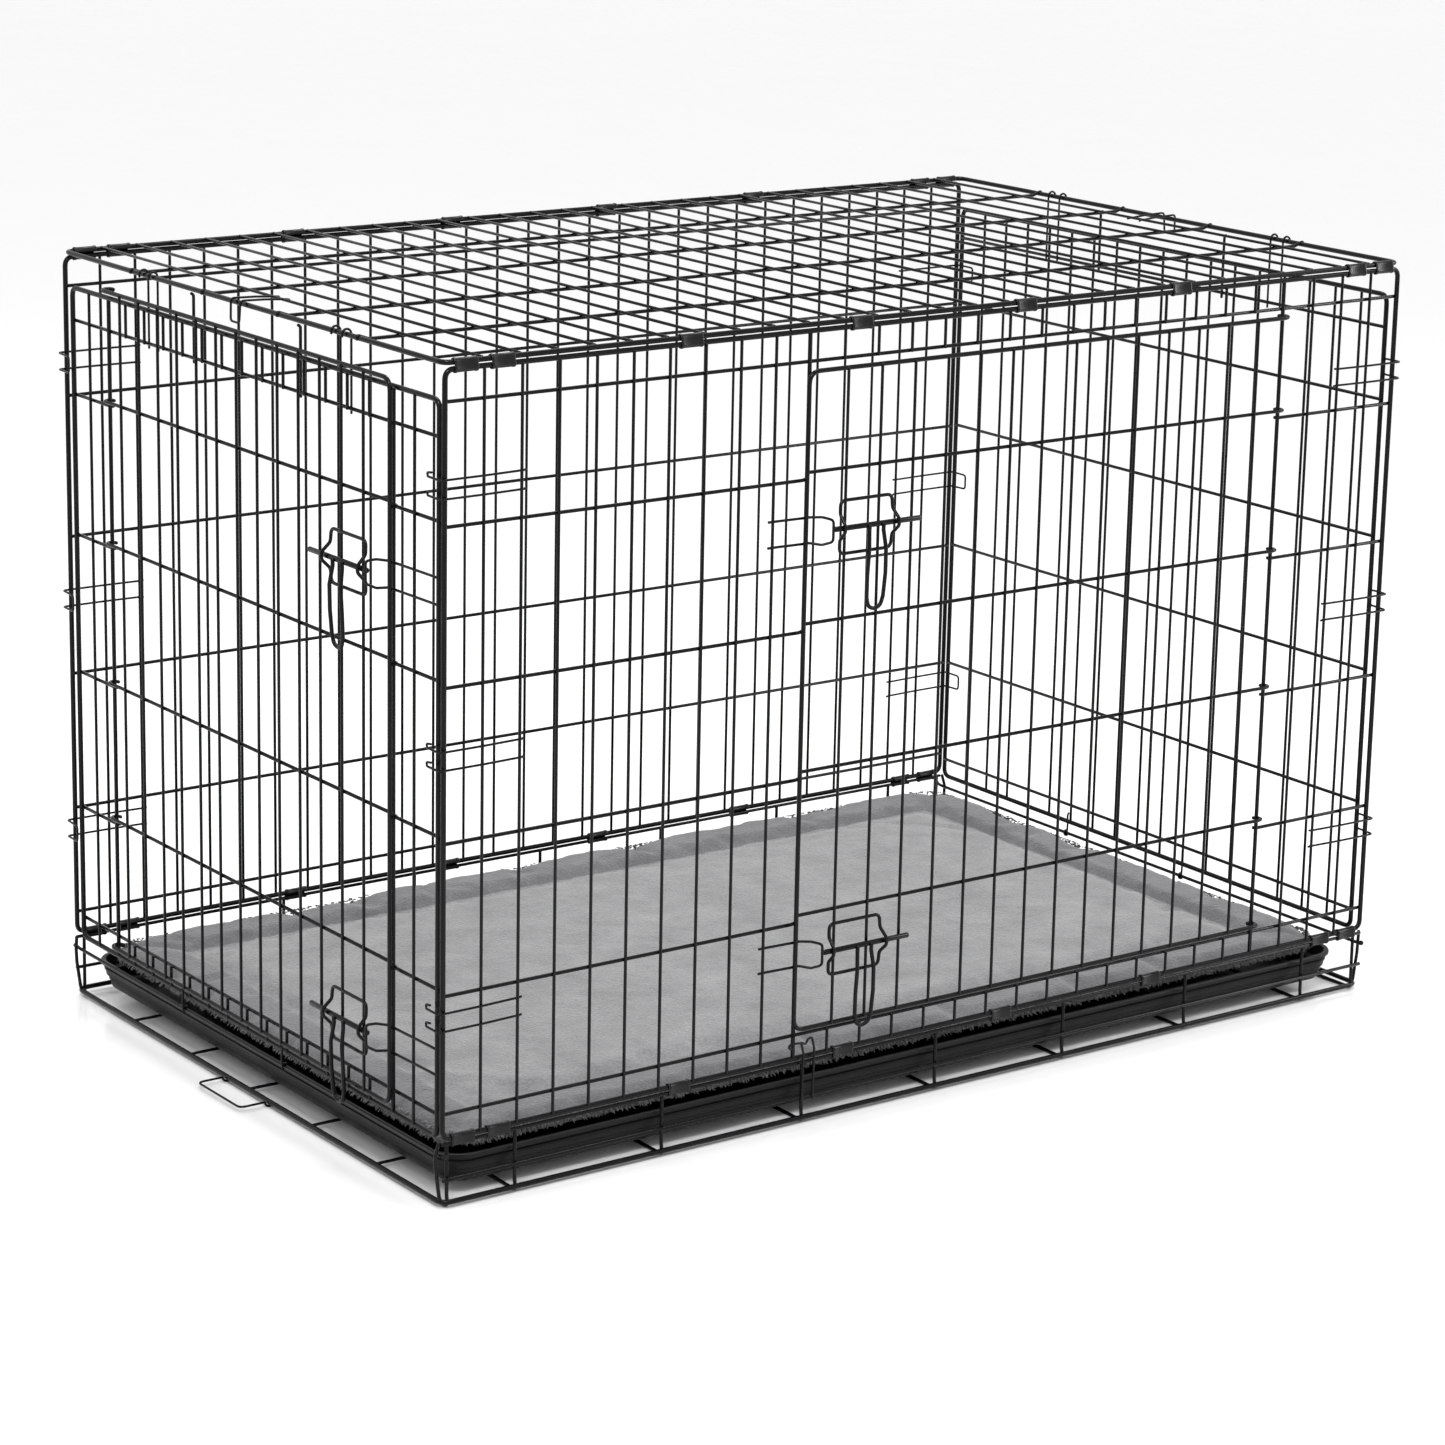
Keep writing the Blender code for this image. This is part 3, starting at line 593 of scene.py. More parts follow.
def end_brace(plane, y):
    """A short upright that reaches from the end panel to under the top panel's end wire."""
    return wire([plane(END_HALF - y, END_RAILS[0] - 0.006, END_IN - RING),
                 plane(END_HALF - y, Z_TOP - 0.0075, END_IN - RING),
                 plane(END_HALF - y, Z_TOP - 0.0052, END_IN - 0.0018)], R_VERT, 0.003)


def end_panel(plane):
    """An end panel with its hanging wires; the left one has the door opening and two keepers."""
    has_door = plane is left
    b, a = (pitch_y(i) for i in LEFT_POSTS)
    wires = [frame_loop(plane, ENDS_Y, END_BOTTOM, END_TOP)]
    for z in END_RAILS:
        if has_door and z not in (END_RAILS[0], END_RAILS[-1]):
            wires += [stub_rail(plane, 0, a, z), stub_rail(plane, ENDS_Y, b, z)]
        else:
            wires.append(rail(plane, -TIP, ENDS_Y + TIP, z))
    for i in range(1, NY):
        u = pitch_y(i)
        if has_door and i in LEFT_POSTS:
            wires.append(upright(plane, u, END_BOTTOM, END_TOP, 0.0, R_POST))
        elif has_door and LEFT_POSTS[1] < i < LEFT_POSTS[0]:
            wires += [upright(plane, u, END_RAILS[0] - TIP, END_TOP),
                      upright(plane, u, END_BOTTOM, END_RAILS[-1] + TIP)]
        else:
            wires.append(upright(plane, u, END_BOTTOM, END_TOP))
    for y in (RING_Y, -RING_Y):
        wires += ring_pair(plane, y)
    wires += [end_brace(plane, y) for y in (BRACE_Y, -BRACE_Y)]
    if has_door:
        wires += [keeper(plane, b, ENDS_Y - 0.001, z, -1) for z in LEFT_LATCH_Z]
    return wires


# ---------------------------------------------------------------- latches, catches and base

def bolt(plane, post, z, flow):
    """A sliding rod with a U handle welded under it, which hangs outside the guide."""
    start = post + flow * ROD_START
    wires = [wire([plane(start, z, ROD_OUT), plane(start + flow * ROD_LENGTH, z, ROD_OUT)], R_ROD)]
    mid, legs = post + flow * HANDLE_U, []
    for s in (1, -1):
        leg = [plane(mid + s * HANDLE_HALF * 0.84, z + 0.0010, ROD_OUT + 0.0034),
               plane(mid + s * HANDLE_HALF * 0.84, z - 0.0060, ROD_OUT + 0.0030),
               plane(mid + s * HANDLE_HALF, z - 0.0250, HANDLE_OUT),
               plane(mid + s * HANDLE_HALF * 1.08, z - 0.050, HANDLE_OUT - 0.0010),
               plane(mid + s * HANDLE_HALF * 0.98, z - HANDLE_DROP + 0.0125, HANDLE_OUT - 0.0025),
               plane(mid + s * HANDLE_HALF * 0.72, z - HANDLE_DROP + 0.0030, HANDLE_OUT - 0.0030)]
        legs += leg + [plane(mid, z - HANDLE_DROP, HANDLE_OUT - 0.0030)] if s == 1 else leg[::-1]
    wires.append(wire(legs, R_HANDLE, 0.007))
    return wires


def guide(plane, post, z, flow):
    """The wire loop on the door that the rod slides through, standing out where it passes the rod."""
    u0, u1 = (post + flow * u for u in GUIDE_U)
    low = DOOR_OUT + 0.0018
    half = GUIDE_HALF
    path = [(u0, half, low), (u1, half, low), (u1 + flow * 0.0010, 0.0130, low + 0.0006),
            (u1 + flow * 0.0030, 0.0035, BULGE_OUT), (u1 + flow * 0.0030, -0.0035, BULGE_OUT),
            (u1 + flow * 0.0010, -0.0130, low + 0.0006), (u1, -half, low), (u0, -half, low),
            (u0 - flow * 0.0004, -0.0130, low + 0.0006), (u0 - flow * 0.0006, -0.0035, BULGE_OUT),
            (u0 - flow * 0.0006, 0.0035, BULGE_OUT), (u0 - flow * 0.0004, 0.0130, low + 0.0006)]
    return [wire([plane(u, z + v, n) for u, v, n in path], R_GUIDE, 0.0065, True)]


def end_catch(side, y):
    """A thin wire wrapped round the base's end wire, rising outside the end panel's bottom wire."""
    x = X0 if side < 0 else X1
    ring = R_RAIL + R_CLIP
    points = [(x + side * ring * math.cos(math.radians(t)), y - side * t * 0.00001,
               END_WIRE_Z + ring * math.sin(math.radians(t))) for t in range(300, -1, -20)]
    points += [(x + side * (ring + 0.0004), y, END_WIRE_Z + 0.010),
               (x + side * (ring - 0.0002), y, END_BOTTOM + 0.0045),
               (x + side * (ring + 0.0016), y, END_BOTTOM + 0.0085)]
    return wire(points, R_CLIP, 0.003)


def base_end(side):
    """The end wire with curled tips, the corner legs that bulge round it, and the two catches."""
    x = X0 if side < 0 else X1
    half = BASE_Y - 0.0057
    reach = half + 0.0090
    wires = [wire([(x, Y_MID - reach, END_WIRE_Z + 0.0010), (x, Y_MID - half, END_WIRE_Z),
                   (x, Y_MID + half, END_WIRE_Z), (x, Y_MID + reach, END_WIRE_Z + 0.0010)], R_RAIL, 0.006)]
    for end in (-1, 1):
        y = Y_MID + end * half
        tip = Vector((x, Y_MID + end * (reach + 0.0006), END_WIRE_Z + 0.0011))
        wires.append(([(tip + Vector((0, end * R_RAIL * 1.5 * math.cos(t), 0)), R_RAIL * 1.5 * math.sin(t))
                       for t in (math.radians(turn) for turn in range(170, 9, -20))], False))
        leg = [(x - side * 0.002, y, LOOP_Z + 0.0030), (x, y, 0.0105), (x + side * 0.0040, y, 0.0400),
               (x + side * 0.0046, y, END_WIRE_Z), (x + side * 0.0020, y + end * 0.0030, 0.0680)]
        wires.append(wire(leg, R_RAIL, 0.010))
    wires += [end_catch(side, Y_MID + y) for y in CATCH_Y]
    return wires


def base_frame():
    """Rim, lip rails, long floor wires, the loops under and up both lips, and both ends."""
    y0, y1, z0 = Y_MID - BASE_Y, Y_MID + BASE_Y, BASE_RAILS[0]
    corners = [(X0, y0, z0), (X1, y0, z0), (X1, y1, z0), (X0, y1, z0)]
    wires = [wire(corners, R_FRAME, 0.012, True)]
    for side in (-1, 1):
        for z in BASE_RAILS[1:]:
            y = Y_MID + side * (BASE_Y + (R_RAIL if z == BASE_RAILS[1] else 0))
            wires.append(wire([(X0 - 0.0015, y, z), (X1 + 0.0015, y, z)], R_RAIL))
    for i in range(1, BASE_LONG + 1):
        y = Y_MID - BASE_Y + i * 2 * BASE_Y / (BASE_LONG + 1)
        wires.append(wire([(X0 - TIP, y, LONG_Z), (X1 + TIP, y, LONG_Z)], R_VERT))
    step = (ENDS_X + 0.0048) / BASE_LOOPS
    middle = (X0 + X1) / 2
    places = [middle + (i + 0.5 - BASE_LOOPS / 2) * step for i in range(BASE_LOOPS)]
    places += [X0 - 0.0024 + CORNER_LOOP_IN, X1 + 0.0024 - CORNER_LOOP_IN]
    leg = BASE_Y - 0.0028
    for x in places:
        path = []
        for s in (-1, 1):
            half = [(x, Y_MID + s * (leg - 0.0004), BASE_RAILS[2] + 0.0014), (x, Y_MID + s * leg, 0.0120),
                    (x, Y_MID + s * (leg + 0.0012), 0.0034), (x, Y_MID + s * (leg - 0.0030), LOOP_Z),
                    (x, Y_MID + s * (leg - 0.0180), LOOP_Z)]
            path += half if s == -1 else half[::-1]
        wires.append(wire(path, R_RAIL, 0.004))
    return wires + base_end(-1) + base_end(1)


def tray_stop():
    """The flap of thin wire that hooks round the rim's end and swings up in front of the tray."""
    x, z, ring, reach, half = X0, BASE_RAILS[0], R_FRAME + R_CLIP + 0.0010, 0.034, 0.044
    points = []
    for s in (1, -1):
        leg = [(x + ring * math.cos(math.radians(t)), Y_MID + s * half, z + ring * math.sin(math.radians(t)))
               for t in range(-30, -181, -25)]
        leg += [(x - reach, Y_MID + s * half, z)]
        points += leg if s == 1 else leg[::-1]
    return [wire(points, R_CLIP, 0.007)]


def front_catch():
    """A thin spring hook that ties the opening's post to the base, with a curled tail."""
    post, n = pitch_x(FRONT_POSTS[0]), 0.0070
    curl = [(-0.0080 - 0.0030 * math.sin(t), 0.0885 + 0.0030 * math.cos(t), n + 0.0002 * k)
            for k, t in enumerate(math.radians(turn) for turn in range(300, -1, -30))]
    points = curl + [(0.0060, 0.0900, n + 0.0016), (0.0108, 0.0872, n), (0.0145, 0.0930, n),
                     (0.0190, 0.0930, n), (0.0228, 0.0800, n - 0.0008), (0.0225, 0.0260, n - 0.0020)]
    leg = [(0.0045, 0.0895, n + 0.0014), (0.0085, 0.0780, n), (0.0090, 0.0260, n - 0.0020)]
    return [wire([front(post + u, z, w) for u, z, w in points], R_CLIP, 0.004),
            wire([front(post + u, z, w) for u, z, w in leg], R_CLIP, 0.004)]


# ---------------------------------------------------------------- sheet clips

def wrap_outline(side, low, high, r_low, r_high):
    """The strip's middle line as (y, z) points: round two stacked wires, pinched between them."""
    (y0, z0), (y1, z1) = low, high
    points = [(y1 + r_high * math.cos(t), z1 + r_high * math.sin(t))
              for t in (math.radians(turn) for turn in range(190, -1, -15))]
    points.append(((y0 + y1) / 2 + (r_low + r_high) / 2 - 0.0006, (z0 + z1) / 2))
    points += [(y0 + r_low * math.cos(t), z0 + r_low * math.sin(t))
               for t in (math.radians(turn) for turn in range(0, -191, -15))]
    return [(side * y, z) for y, z in points]


def wrap_mesh(name, side, low, high, r_low, r_high):
    """A rolled strip with a rolled collar at each end, centred on x = 0."""
    stations = ((-0.5, 0.0), (-0.47, COLLAR), (-0.41, COLLAR), (-0.37, 0.0),
                (0.37, 0.0), (0.41, COLLAR), (0.47, COLLAR), (0.5, 0.0))
    work = bmesh.new()
    rows = []
    for share, swell in stations:
        outline = wrap_outline(side, low, high, r_low + swell, r_high + swell)
        rows.append([work.verts.new((share * WRAP_LENGTH, y, z)) for y, z in outline])
    for one, other in zip(rows, rows[1:]):
        for i in range(len(one) - 1):
            work.faces.new((one[i], one[i + 1], other[i + 1], other[i]))
    bmesh.ops.recalc_face_normals(work, faces=work.faces)
    ob = linked(name, meshed(name, work))
    solid = ob.modifiers.new("wall", "SOLIDIFY")
    solid.thickness = WRAP_WALL
    solid.offset = 0.0
    edge = ob.modifiers.new("edges", "BEVEL")
    edge.width = WRAP_WALL * 0.3
    edge.segments = 2
    mesh = baked(ob)
    bpy.data.objects.remove(ob, do_unlink=True)
    weld_and_smooth(mesh, 50)
    return mesh


def hinge_clips(material):
    """The sheet clips of the four fold lines; one mesh serves the eight clips of a line."""
    lines = {"top_front": (-1, SIDE_TOP, Z_TOP), "top_back": (1, SIDE_TOP, Z_TOP),
             "base_front": (-1, BASE_RAILS[2], SIDE_BOTTOM), "base_back": (1, BASE_RAILS[2], SIDE_BOTTOM)}
    round_wire = WRAP_PLAY + WRAP_WALL / 2
    for name, (side, z0, z1) in lines.items():
        is_base = name.startswith("base")
        low = (BASE_Y if is_base else SIDE_Y, z0)
        high = (SIDE_Y if is_base else EDGE_Y, z1)
        r_low = (R_RAIL if is_base else R_FRAME) + round_wire
        mesh = wrap_mesh("hinge_wrap_" + name, side, low, high, r_low, R_FRAME + round_wire)
        mesh.transform(Matrix.Translation((0, Y_MID, 0)))
        for number in range(1, 9):
            node = f"hinge_clip_{name}_{number}"
            lowest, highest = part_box(node)
            middle = (lowest.x + highest.x) / 2
            place(f"{node}_wrap", mesh, material, "black_sheet_clip", "crate", node, x=middle)


# ---------------------------------------------------------------- tray

def rounded(lowest, highest, inset, radius, z, steps=10):
    """Corner points of a rounded rectangle, shrunk by an inset."""
    x0, x1, y0, y1 = lowest.x + inset, highest.x - inset, lowest.y + inset, highest.y - inset
    radius = max(radius - inset, 0.003)
    points = []
    for cx, cy, turn in ((x1 - radius, y1 - radius, 0), (x0 + radius, y1 - radius, 90),
                         (x0 + radius, y0 + radius, 180), (x1 - radius, y0 + radius, 270)):
        for i in range(steps + 1):
            t = math.radians(turn + 90 * i / steps)
            points.append((cx + radius * math.cos(t), cy + radius * math.sin(t), z))
    return points


def lofted(work, rings):
    """Adds a closed body through stacked rings."""
    loops = [[work.verts.new(p) for p in ring] for ring in rings]
    for one, other in zip(loops, loops[1:]):
        for i in range(len(one)):
            j = (i + 1) % len(one)
            work.faces.new((one[i], one[j], other[j], other[i]))
    work.faces.new(loops[0])
    work.faces.new(loops[-1])


def tray(material):
    """A moulded pan: ribbed stepped wall, rolled rim, and raised ribs across the floor."""
    lowest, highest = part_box("tray")
    z0, z1 = lowest.z, highest.z
    wall = ((0.0230, 0.0), (0.0165, 0.0004), (0.0128, 0.0020), (0.0112, 0.0045), (0.0100, 0.0105),
            (0.0086, 0.0114), (0.0084, 0.0126), (0.0084, 0.0146), (0.0072, 0.0158), (0.0058, 0.0166),
            (0.0052, 0.0200), (0.0050, 0.0222), (0.0036, 0.0230), (0.0036, 0.0252), (0.0048, 0.0260),
            (0.0042, 0.0284))
    lip = ((0.0010, 0.0044), (0.0001, 0.0036), (0.0, 0.0012), (0.0006, 0.0003), (0.0016, 0.0), (0.0046, 0.0),
           (0.0055, 0.0005))
    inner = ((0.0066, 0.0225), (0.0074, 0.0190), (0.0092, 0.0178), (0.0112, 0.0168), (0.0126, 0.0080),
             (0.0150, 0.0042), (0.0190, 0.0027), (0.0250, 0.0024))
    steps = [(inset, z0 + z) for inset, z in wall] + [(inset, z1 - z) for inset, z in lip]
    steps += [(inset, z0 + z) for inset, z in inner]
    work = bmesh.new()
    lofted(work, [rounded(lowest, highest, inset, 0.034, z) for inset, z in steps])
    floor_z, ribs, rib_half, margin = z0 + 0.0022, 16, 0.0055, 0.052
    for i in range(ribs):
        x = lowest.x + margin + (i + 0.5) * (highest.x - lowest.x - 2 * margin) / ribs
        one = Vector((x - rib_half, lowest.y + margin, 0))
        two = Vector((x + rib_half, highest.y - margin, 0))
        lofted(work, [rounded(one, two, inset, rib_half, floor_z + z, 5)
                      for inset, z in ((0.0, 0.0), (0.0006, 0.0008), (0.0018, 0.0013))])
    bmesh.ops.recalc_face_normals(work, faces=work.faces)
    mesh = meshed("tray_moulding", work)
    mesh.shade_smooth()
    mesh.set_sharp_from_angle(angle=math.radians(32))
    place("tray_moulding", mesh, material, "black_plastic_tray", "tray", "tray")


# ---------------------------------------------------------------- mat

def corner_map(a, b):
    """Square corner coordinates to a quarter disc, both from 0 to 1."""
    reach, length = max(a, b), math.hypot(a, b)
    return (a * reach / length, b * reach / length) if length else (0.0, 0.0)


def mat_outline(u, v, lowest, highest):
    """A point of the mat's plan from grid coordinates in metres, with rounded corners."""
    width, depth = highest.x - lowest.x, highest.y - lowest.y
    du, dv = min(u, width - u), min(v, depth - v)
    if du < MAT_CORNER and dv < MAT_CORNER:
        a, b = corner_map(1 - du / MAT_CORNER, 1 - dv / MAT_CORNER)
        du, dv = MAT_CORNER * (1 - a), MAT_CORNER * (1 - b)
        u = du if u < width / 2 else width - du
        v = dv if v < depth / 2 else depth - dv
    return Vector((lowest.x + u, lowest.y + v, 0)), du, dv


def mat_height(du, dv, thick):
    """Start height of the mat's top, and whether a seam holds the cloth there."""
    edge = min(du, dv)
    seam = abs(edge - BORDER)
    mitre = abs(du - dv) / math.sqrt(2) if max(du, dv) < BORDER + 0.004 else 1.0
    near = min(seam, mitre)
    full = thick * (0.86 if edge < BORDER else 0.56)
    lift = full * min(1.0, math.sqrt(max(edge, 0.0) / 0.020)) if edge < 0.020 else full
    dip = math.exp(-((near / 0.0055) ** 2))
    return lift * (1 - dip) + min(lift, thick * 0.36) * dip, near < CELL * 0.62


def mat_start(lowest, highest):
    """The mat's start shape, open below, and the vertices that the simulation holds still."""
    thick = highest.z - lowest.z
    nx = round((highest.x - lowest.x) / CELL)
    ny = round((highest.y - lowest.y) / CELL)
    step_x, step_y = (highest.x - lowest.x) / nx, (highest.y - lowest.y) / ny
    work = bmesh.new()
    grid, held = [], []
    for i in range(nx + 1):
        row = []
        for j in range(ny + 1):
            at, du, dv = mat_outline(i * step_x, j * step_y, lowest, highest)
            height, seam = mat_height(du, dv, thick)
            rumple = 0.0008 * noise.noise(at * 17.0) if du > 0.02 and dv > 0.02 else 0.0
            on_edge = i in (0, nx) or j in (0, ny)
            at.z = lowest.z + (RIM_Z if on_edge else max(height + rumple, 0.0045))
            vert = work.verts.new(at)
            row.append(vert)
            if seam and not on_edge:
                held.append(vert)
        grid.append(row)
    for i in range(nx):
        for j in range(ny):
            work.faces.new((grid[i][j], grid[i + 1][j], grid[i + 1][j + 1], grid[i][j + 1]))
    rim = [grid[i][0] for i in range(nx)] + [grid[nx][j] for j in range(ny)]
    rim += [grid[i][ny] for i in range(nx, 0, -1)] + [grid[0][j] for j in range(ny, 0, -1)]
    centre = (lowest + highest) / 2
    rings = [rim]
    for inset, z in ((0.0010, 0.0035), (0.0075, 0.0004)):
        ring = []
        for vert in rim:
            x, y = vert.co.x, vert.co.y
            inward = (Vector((centre.x, centre.y, 0)) - Vector((x, y, 0))).normalized()
            ring.append(work.verts.new((x + inward.x * inset, y + inward.y * inset, lowest.z + z)))
        rings.append(ring)
    for one, other in zip(rings, rings[1:]):
        for i in range(len(one)):
            j = (i + 1) % len(one)
            work.faces.new((one[i], one[j], other[j], other[i]))
    held += rings[-1]
    bmesh.ops.recalc_face_normals(work, faces=work.faces)
    if grid[nx // 2][ny // 2].normal.z < 0:
        bmesh.ops.reverse_faces(work, faces=work.faces)
    work.verts.index_update()
    held = [vert.index for vert in held]
    return meshed("plush_mat", work), held


def puff_up(ob, held):
    """Stuff the mat: cloth under pressure between its sewn seams, applied to the mesh."""
    group = ob.vertex_groups.new(name="seams")
    group.add(held, 1.0, "REPLACE")
    start = np.array([vert.co.copy() for vert in ob.data.vertices])
    cloth = ob.modifiers.new("stuffing", "CLOTH")
    settings = cloth.settings
    settings.quality = 5
    settings.mass = 0.2
    settings.tension_stiffness = settings.compression_stiffness = 12.0
    settings.bending_stiffness = 0.4
    settings.shrink_min = -0.035
    settings.use_pressure = True
    settings.uniform_pressure_force = 4.0
    settings.vertex_group_mass = "seams"
    settings.effector_weights.gravity = 0.0
    cloth.collision_settings.use_collision = False
    frames = 20
    cloth.point_cache.frame_start, cloth.point_cache.frame_end = 1, frames
    for number in range(1, frames + 1):
        bpy.context.scene.frame_set(number)
    graph = bpy.context.evaluated_depsgraph_get()
    stuffed = np.array([vert.co.copy() for vert in ob.evaluated_get(graph).data.vertices])
    ob.modifiers.remove(cloth)
    ob.vertex_groups.remove(group)
    bpy.context.scene.frame_set(1)
    farthest = 0.007
    move = stuffed - start
    length = np.linalg.norm(move, axis=1, keepdims=True)
    moved = start + move * np.minimum(1.0, farthest / np.maximum(length, 1e-9))
    ob.data.vertices.foreach_set("co", moved.astype(np.float32).ravel())
    ob.data.update()


def nap(ob, lowest, highest):
    """A finer mesh with clumped pile on it and a closed underside, kept inside the mat's own space."""
    finer = ob.modifiers.new("finer", "SUBSURF")
    finer.levels = finer.render_levels = 1
    mesh = baked(ob)
    ob.modifiers.clear()
    ob.data = mesh
    count = len(mesh.vertices)
    points, normals = np.empty(count * 3, np.float32), np.empty(count * 3, np.float32)
    mesh.vertices.foreach_get("co", points)
    mesh.vertices.foreach_get("normal", normals)
    points, normals = points.reshape(-1, 3), normals.reshape(-1, 3)
    clumps = [0.0006 * (noise.noise(Vector(p) * 130.0) + noise.noise(Vector(p) * 48.0)) for p in points]
    points = np.clip(points + normals * np.array(clumps)[:, None], lowest, highest)
    mesh.vertices.foreach_set("co", points.astype(np.float32).ravel())
    work = bmesh.new()
    work.from_mesh(mesh)
    bmesh.ops.holes_fill(work, edges=[edge for edge in work.edges if edge.is_boundary], sides=0)
    work.to_mesh(mesh)
    work.free()


def side_point(along, lowest, highest):
    """A point of the mat's outline at a distance along its four sides, and the way it faces."""
    width, depth = highest.x - lowest.x, highest.y - lowest.y
    if along < 2 * width:
        u, v, out = along % width, 0.0 if along < width else depth, (0, -1 if along < width else 1)
    else:
        along -= 2 * width
        u, v, out = 0.0 if along < depth else width, along % depth, (-1 if along < depth else 1, 0)
    at, du, dv = mat_outline(u, v, lowest, highest)
    if du > 0 and dv > 0:
        corner = Vector((min(max(at.x, lowest.x + MAT_CORNER), highest.x - MAT_CORNER),
                         min(max(at.y, lowest.y + MAT_CORNER), highest.y - MAT_CORNER), 0))
        return at, (at - corner).normalized()
    return at, Vector((*out, 0))


def lock(work, root, bend, tip, side, up):
    """One closed lock of plush: a bent three-sided spike."""
    base, waist = ([work.verts.new(at + side * radius * math.cos(t) + up * radius * math.sin(t))
                    for t in (0.0, 2.094, 4.189)] for at, radius in ((root, LOCK), (bend, LOCK * 0.8)))
    point = work.verts.new(tip)
    work.faces.new(base[::-1])
    for i in range(3):
        j = (i + 1) % 3
        work.faces.new((base[i], base[j], waist[j], waist[i]))
        work.faces.new((waist[i], waist[j], point))


def tufts(mesh, lowest, highest):
    """Small locks of plush that hang from the mat's sides."""
    random = np.random.default_rng(11)
    around = 2 * (highest.x - lowest.x + highest.y - lowest.y)
    work = bmesh.new()
    work.from_mesh(mesh)
    for _ in range(LOCKS):
        at, facing = side_point(random.random() * around, lowest, highest)
        drop = random.random()
        root = at - facing * (0.0022 + 0.0040 * drop) + Vector((0, 0, lowest.z + 0.0030 + 0.0120 * drop))
        side = Vector((-facing.y, facing.x, 0))
        length = 0.0035 + 0.0030 * random.random()
        hang = (facing * (0.75 + 0.2 * drop) + side * random.normal(0, 0.35)
                + Vector((0, 0, -0.55 - 0.35 * random.random() + 0.5 * drop))).normalized()
        tip = root + hang * length
        tip.z = max(tip.z, lowest.z + 0.0004)
        bend = root + hang * length * 0.55 + facing * 0.0005
        lock(work, root, bend, tip, side, hang.cross(side).normalized())
    bmesh.ops.recalc_face_normals(work, faces=work.faces)
    work.to_mesh(mesh)
    work.free()


def plush_mat(material):
    """The stuffed mat with its pile and the locks along its sides."""
    lowest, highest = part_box("mat")
    mesh, held = mat_start(lowest, highest)
    mat = place("plush_mat", mesh, material, "grey_plush_mat", "mat", "mat")
    puff_up(mat, held)
    nap(mat, lowest, highest)
    tufts(mat.data, lowest, highest)
    mat.data.materials.clear()
    mat.data.materials.append(material)
    mat.data.shade_smooth()


# ---------------------------------------------------------------- stage

def area_light(name, location, target, size, size_y, power):
    """A soft box that looks at a target."""
    light = bpy.data.lights.new(name, "AREA")
    light.shape = "RECTANGLE"
    light.size, light.size_y, light.energy = size, size_y, power
    ob = linked(name, light)
    ob.location = location
    ob.rotation_euler = (Vector(target) - Vector(location)).to_track_quat("-Z", "Y").to_euler()


def stage():
    """Pale floor, white surroundings and three soft boxes."""
    work = bmesh.new()
    bmesh.ops.create_grid(work, x_segments=1, y_segments=1, size=FLOOR_SIZE)
    floor = linked("floor", meshed("floor", work))
    floor.data.materials.append(floor_material())
    world = bpy.data.worlds.new("studio")
    bpy.context.scene.world = world
    world.use_nodes = True
    sky = world.node_tree.nodes["Background"]
    sky.inputs["Color"].default_value = (1.0, 1.0, 1.0, 1.0)
    sky.inputs["Strength"].default_value = 1.0
    area_light("key_softbox", (-1.6, -1.8, 3.0), (0, 0, 0.3), 1.0, 0.5, 62)
    area_light("top_softbox", (0.4, 0.8, 3.4), (0, 0, 0.2), 1.6, 0.8, 50)
    area_light("side_strip", (3.2, -1.6, 1.6), (0, 0, 0.4), 0.3, 2.0, 40)


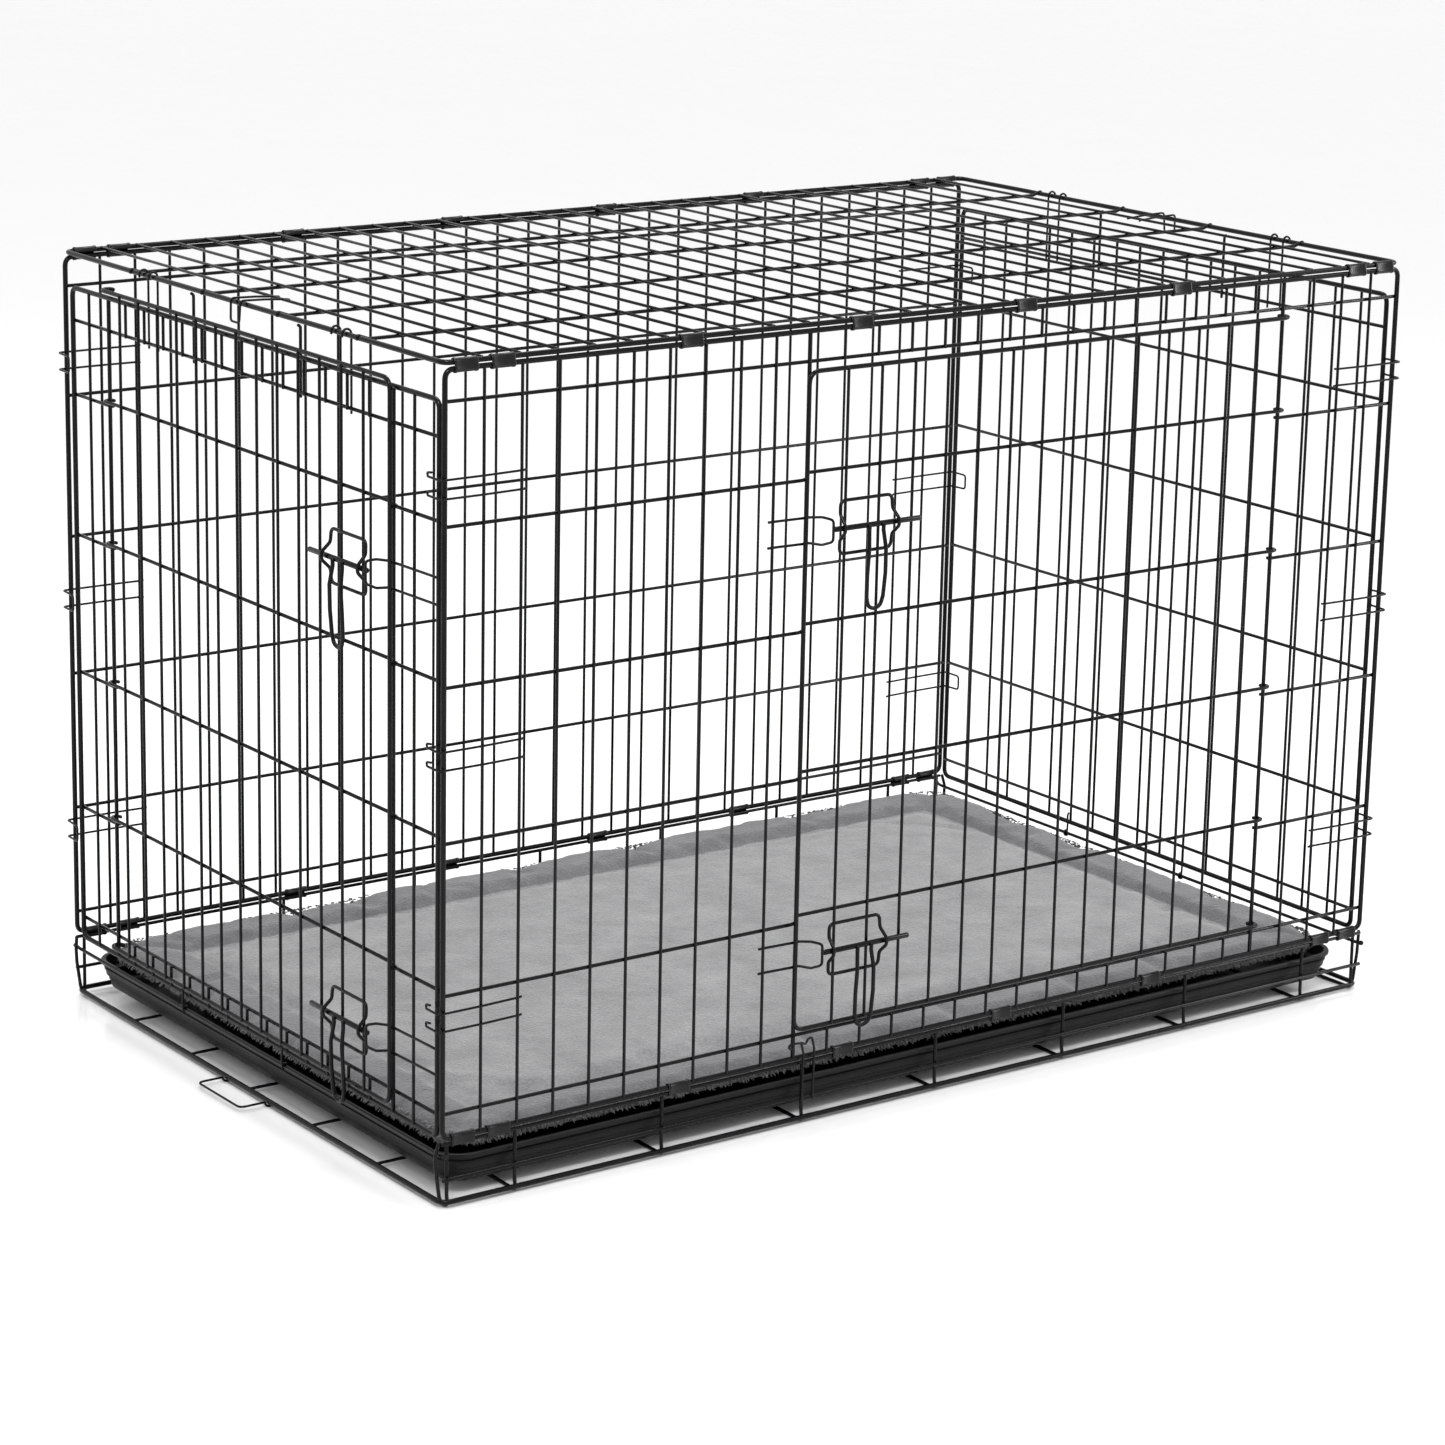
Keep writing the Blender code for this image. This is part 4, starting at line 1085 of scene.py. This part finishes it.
def camera():
    """The camera at the fitted place, turned by azimuth, elevation and roll."""
    data = bpy.data.cameras.new("camera")
    data.lens, data.sensor_width, data.shift_y = LENS, SENSOR, SHIFT_Y
    data.clip_end = 200.0
    ob = linked("camera", data)
    a, e, r = (math.radians(v) for v in (CAMERA_AZIMUTH, CAMERA_ELEVATION, CAMERA_ROLL))
    back_way = Vector((math.sin(a) * math.cos(e), -math.cos(a) * math.cos(e), math.sin(e)))
    level = Vector((math.cos(a), math.sin(a), 0.0))
    up = back_way.cross(level)
    side, rise = level * math.cos(r) + up * math.sin(r), up * math.cos(r) - level * math.sin(r)
    turn = Matrix((side, rise, back_way)).transposed().to_4x4()
    ob.matrix_world = Matrix.Translation(CAMERA_AT + Vector(((X0 + X1) / 2, Y_MID, 0))) @ turn
    bpy.context.scene.camera = ob


# ---------------------------------------------------------------- build

def build():
    """All pieces, each on its body, then the stage and the camera."""
    wire_mat, clip_mat = coated_wire(), sheet_clip()

    def show(node, wires, body, resolution=4):
        name = f"{node}_wires"
        place(name, wire_mesh(name, wires, resolution), wire_mat, "black_coated_wire", body, node)

    show("base_frame", base_frame(), "crate")
    show("front_panel", front_panel(), "crate")
    show("back_panel", back_panel(), "crate")
    show("top_panel", top_panel(), "crate")
    show("left_end_panel", end_panel(left), "left_end")
    show("right_end_panel", end_panel(right), "right_end")
    a, b = (pitch_x(i) for i in FRONT_POSTS)
    show("front_door", door(front, a, b, FRONT_DOOR_Z, FRONT_POSTS, 1), "front_door")
    c, d = (pitch_y(i) for i in LEFT_POSTS)
    show("left_door", door(left, c, d, LEFT_DOOR_Z, LEFT_POSTS, -1), "left_door")
    latches = (("front", front, a, FRONT_LATCH_Z, 1), ("left", left, c, LEFT_LATCH_Z, -1))
    for side, plane, post, heights, flow in latches:
        for where, z in zip(("upper", "lower"), heights):
            show(f"{side}_bolt_{where}", bolt(plane, post, z, flow), f"{side}_bolt_{where}", 6)
            show(f"{side}_bolt_guide_{where}", guide(plane, post, z, flow), f"{side}_door", 5)
    show("tray_stop", tray_stop(), "tray_stop")
    show("front_catch", front_catch(), "crate")
    hinge_clips(clip_mat)
    tray(tray_plastic())
    plush_mat(plush())
    stage()
    camera()
    bpy.context.scene.view_settings.view_transform = "Standard"


build()
bpy.context.view_layer.update()
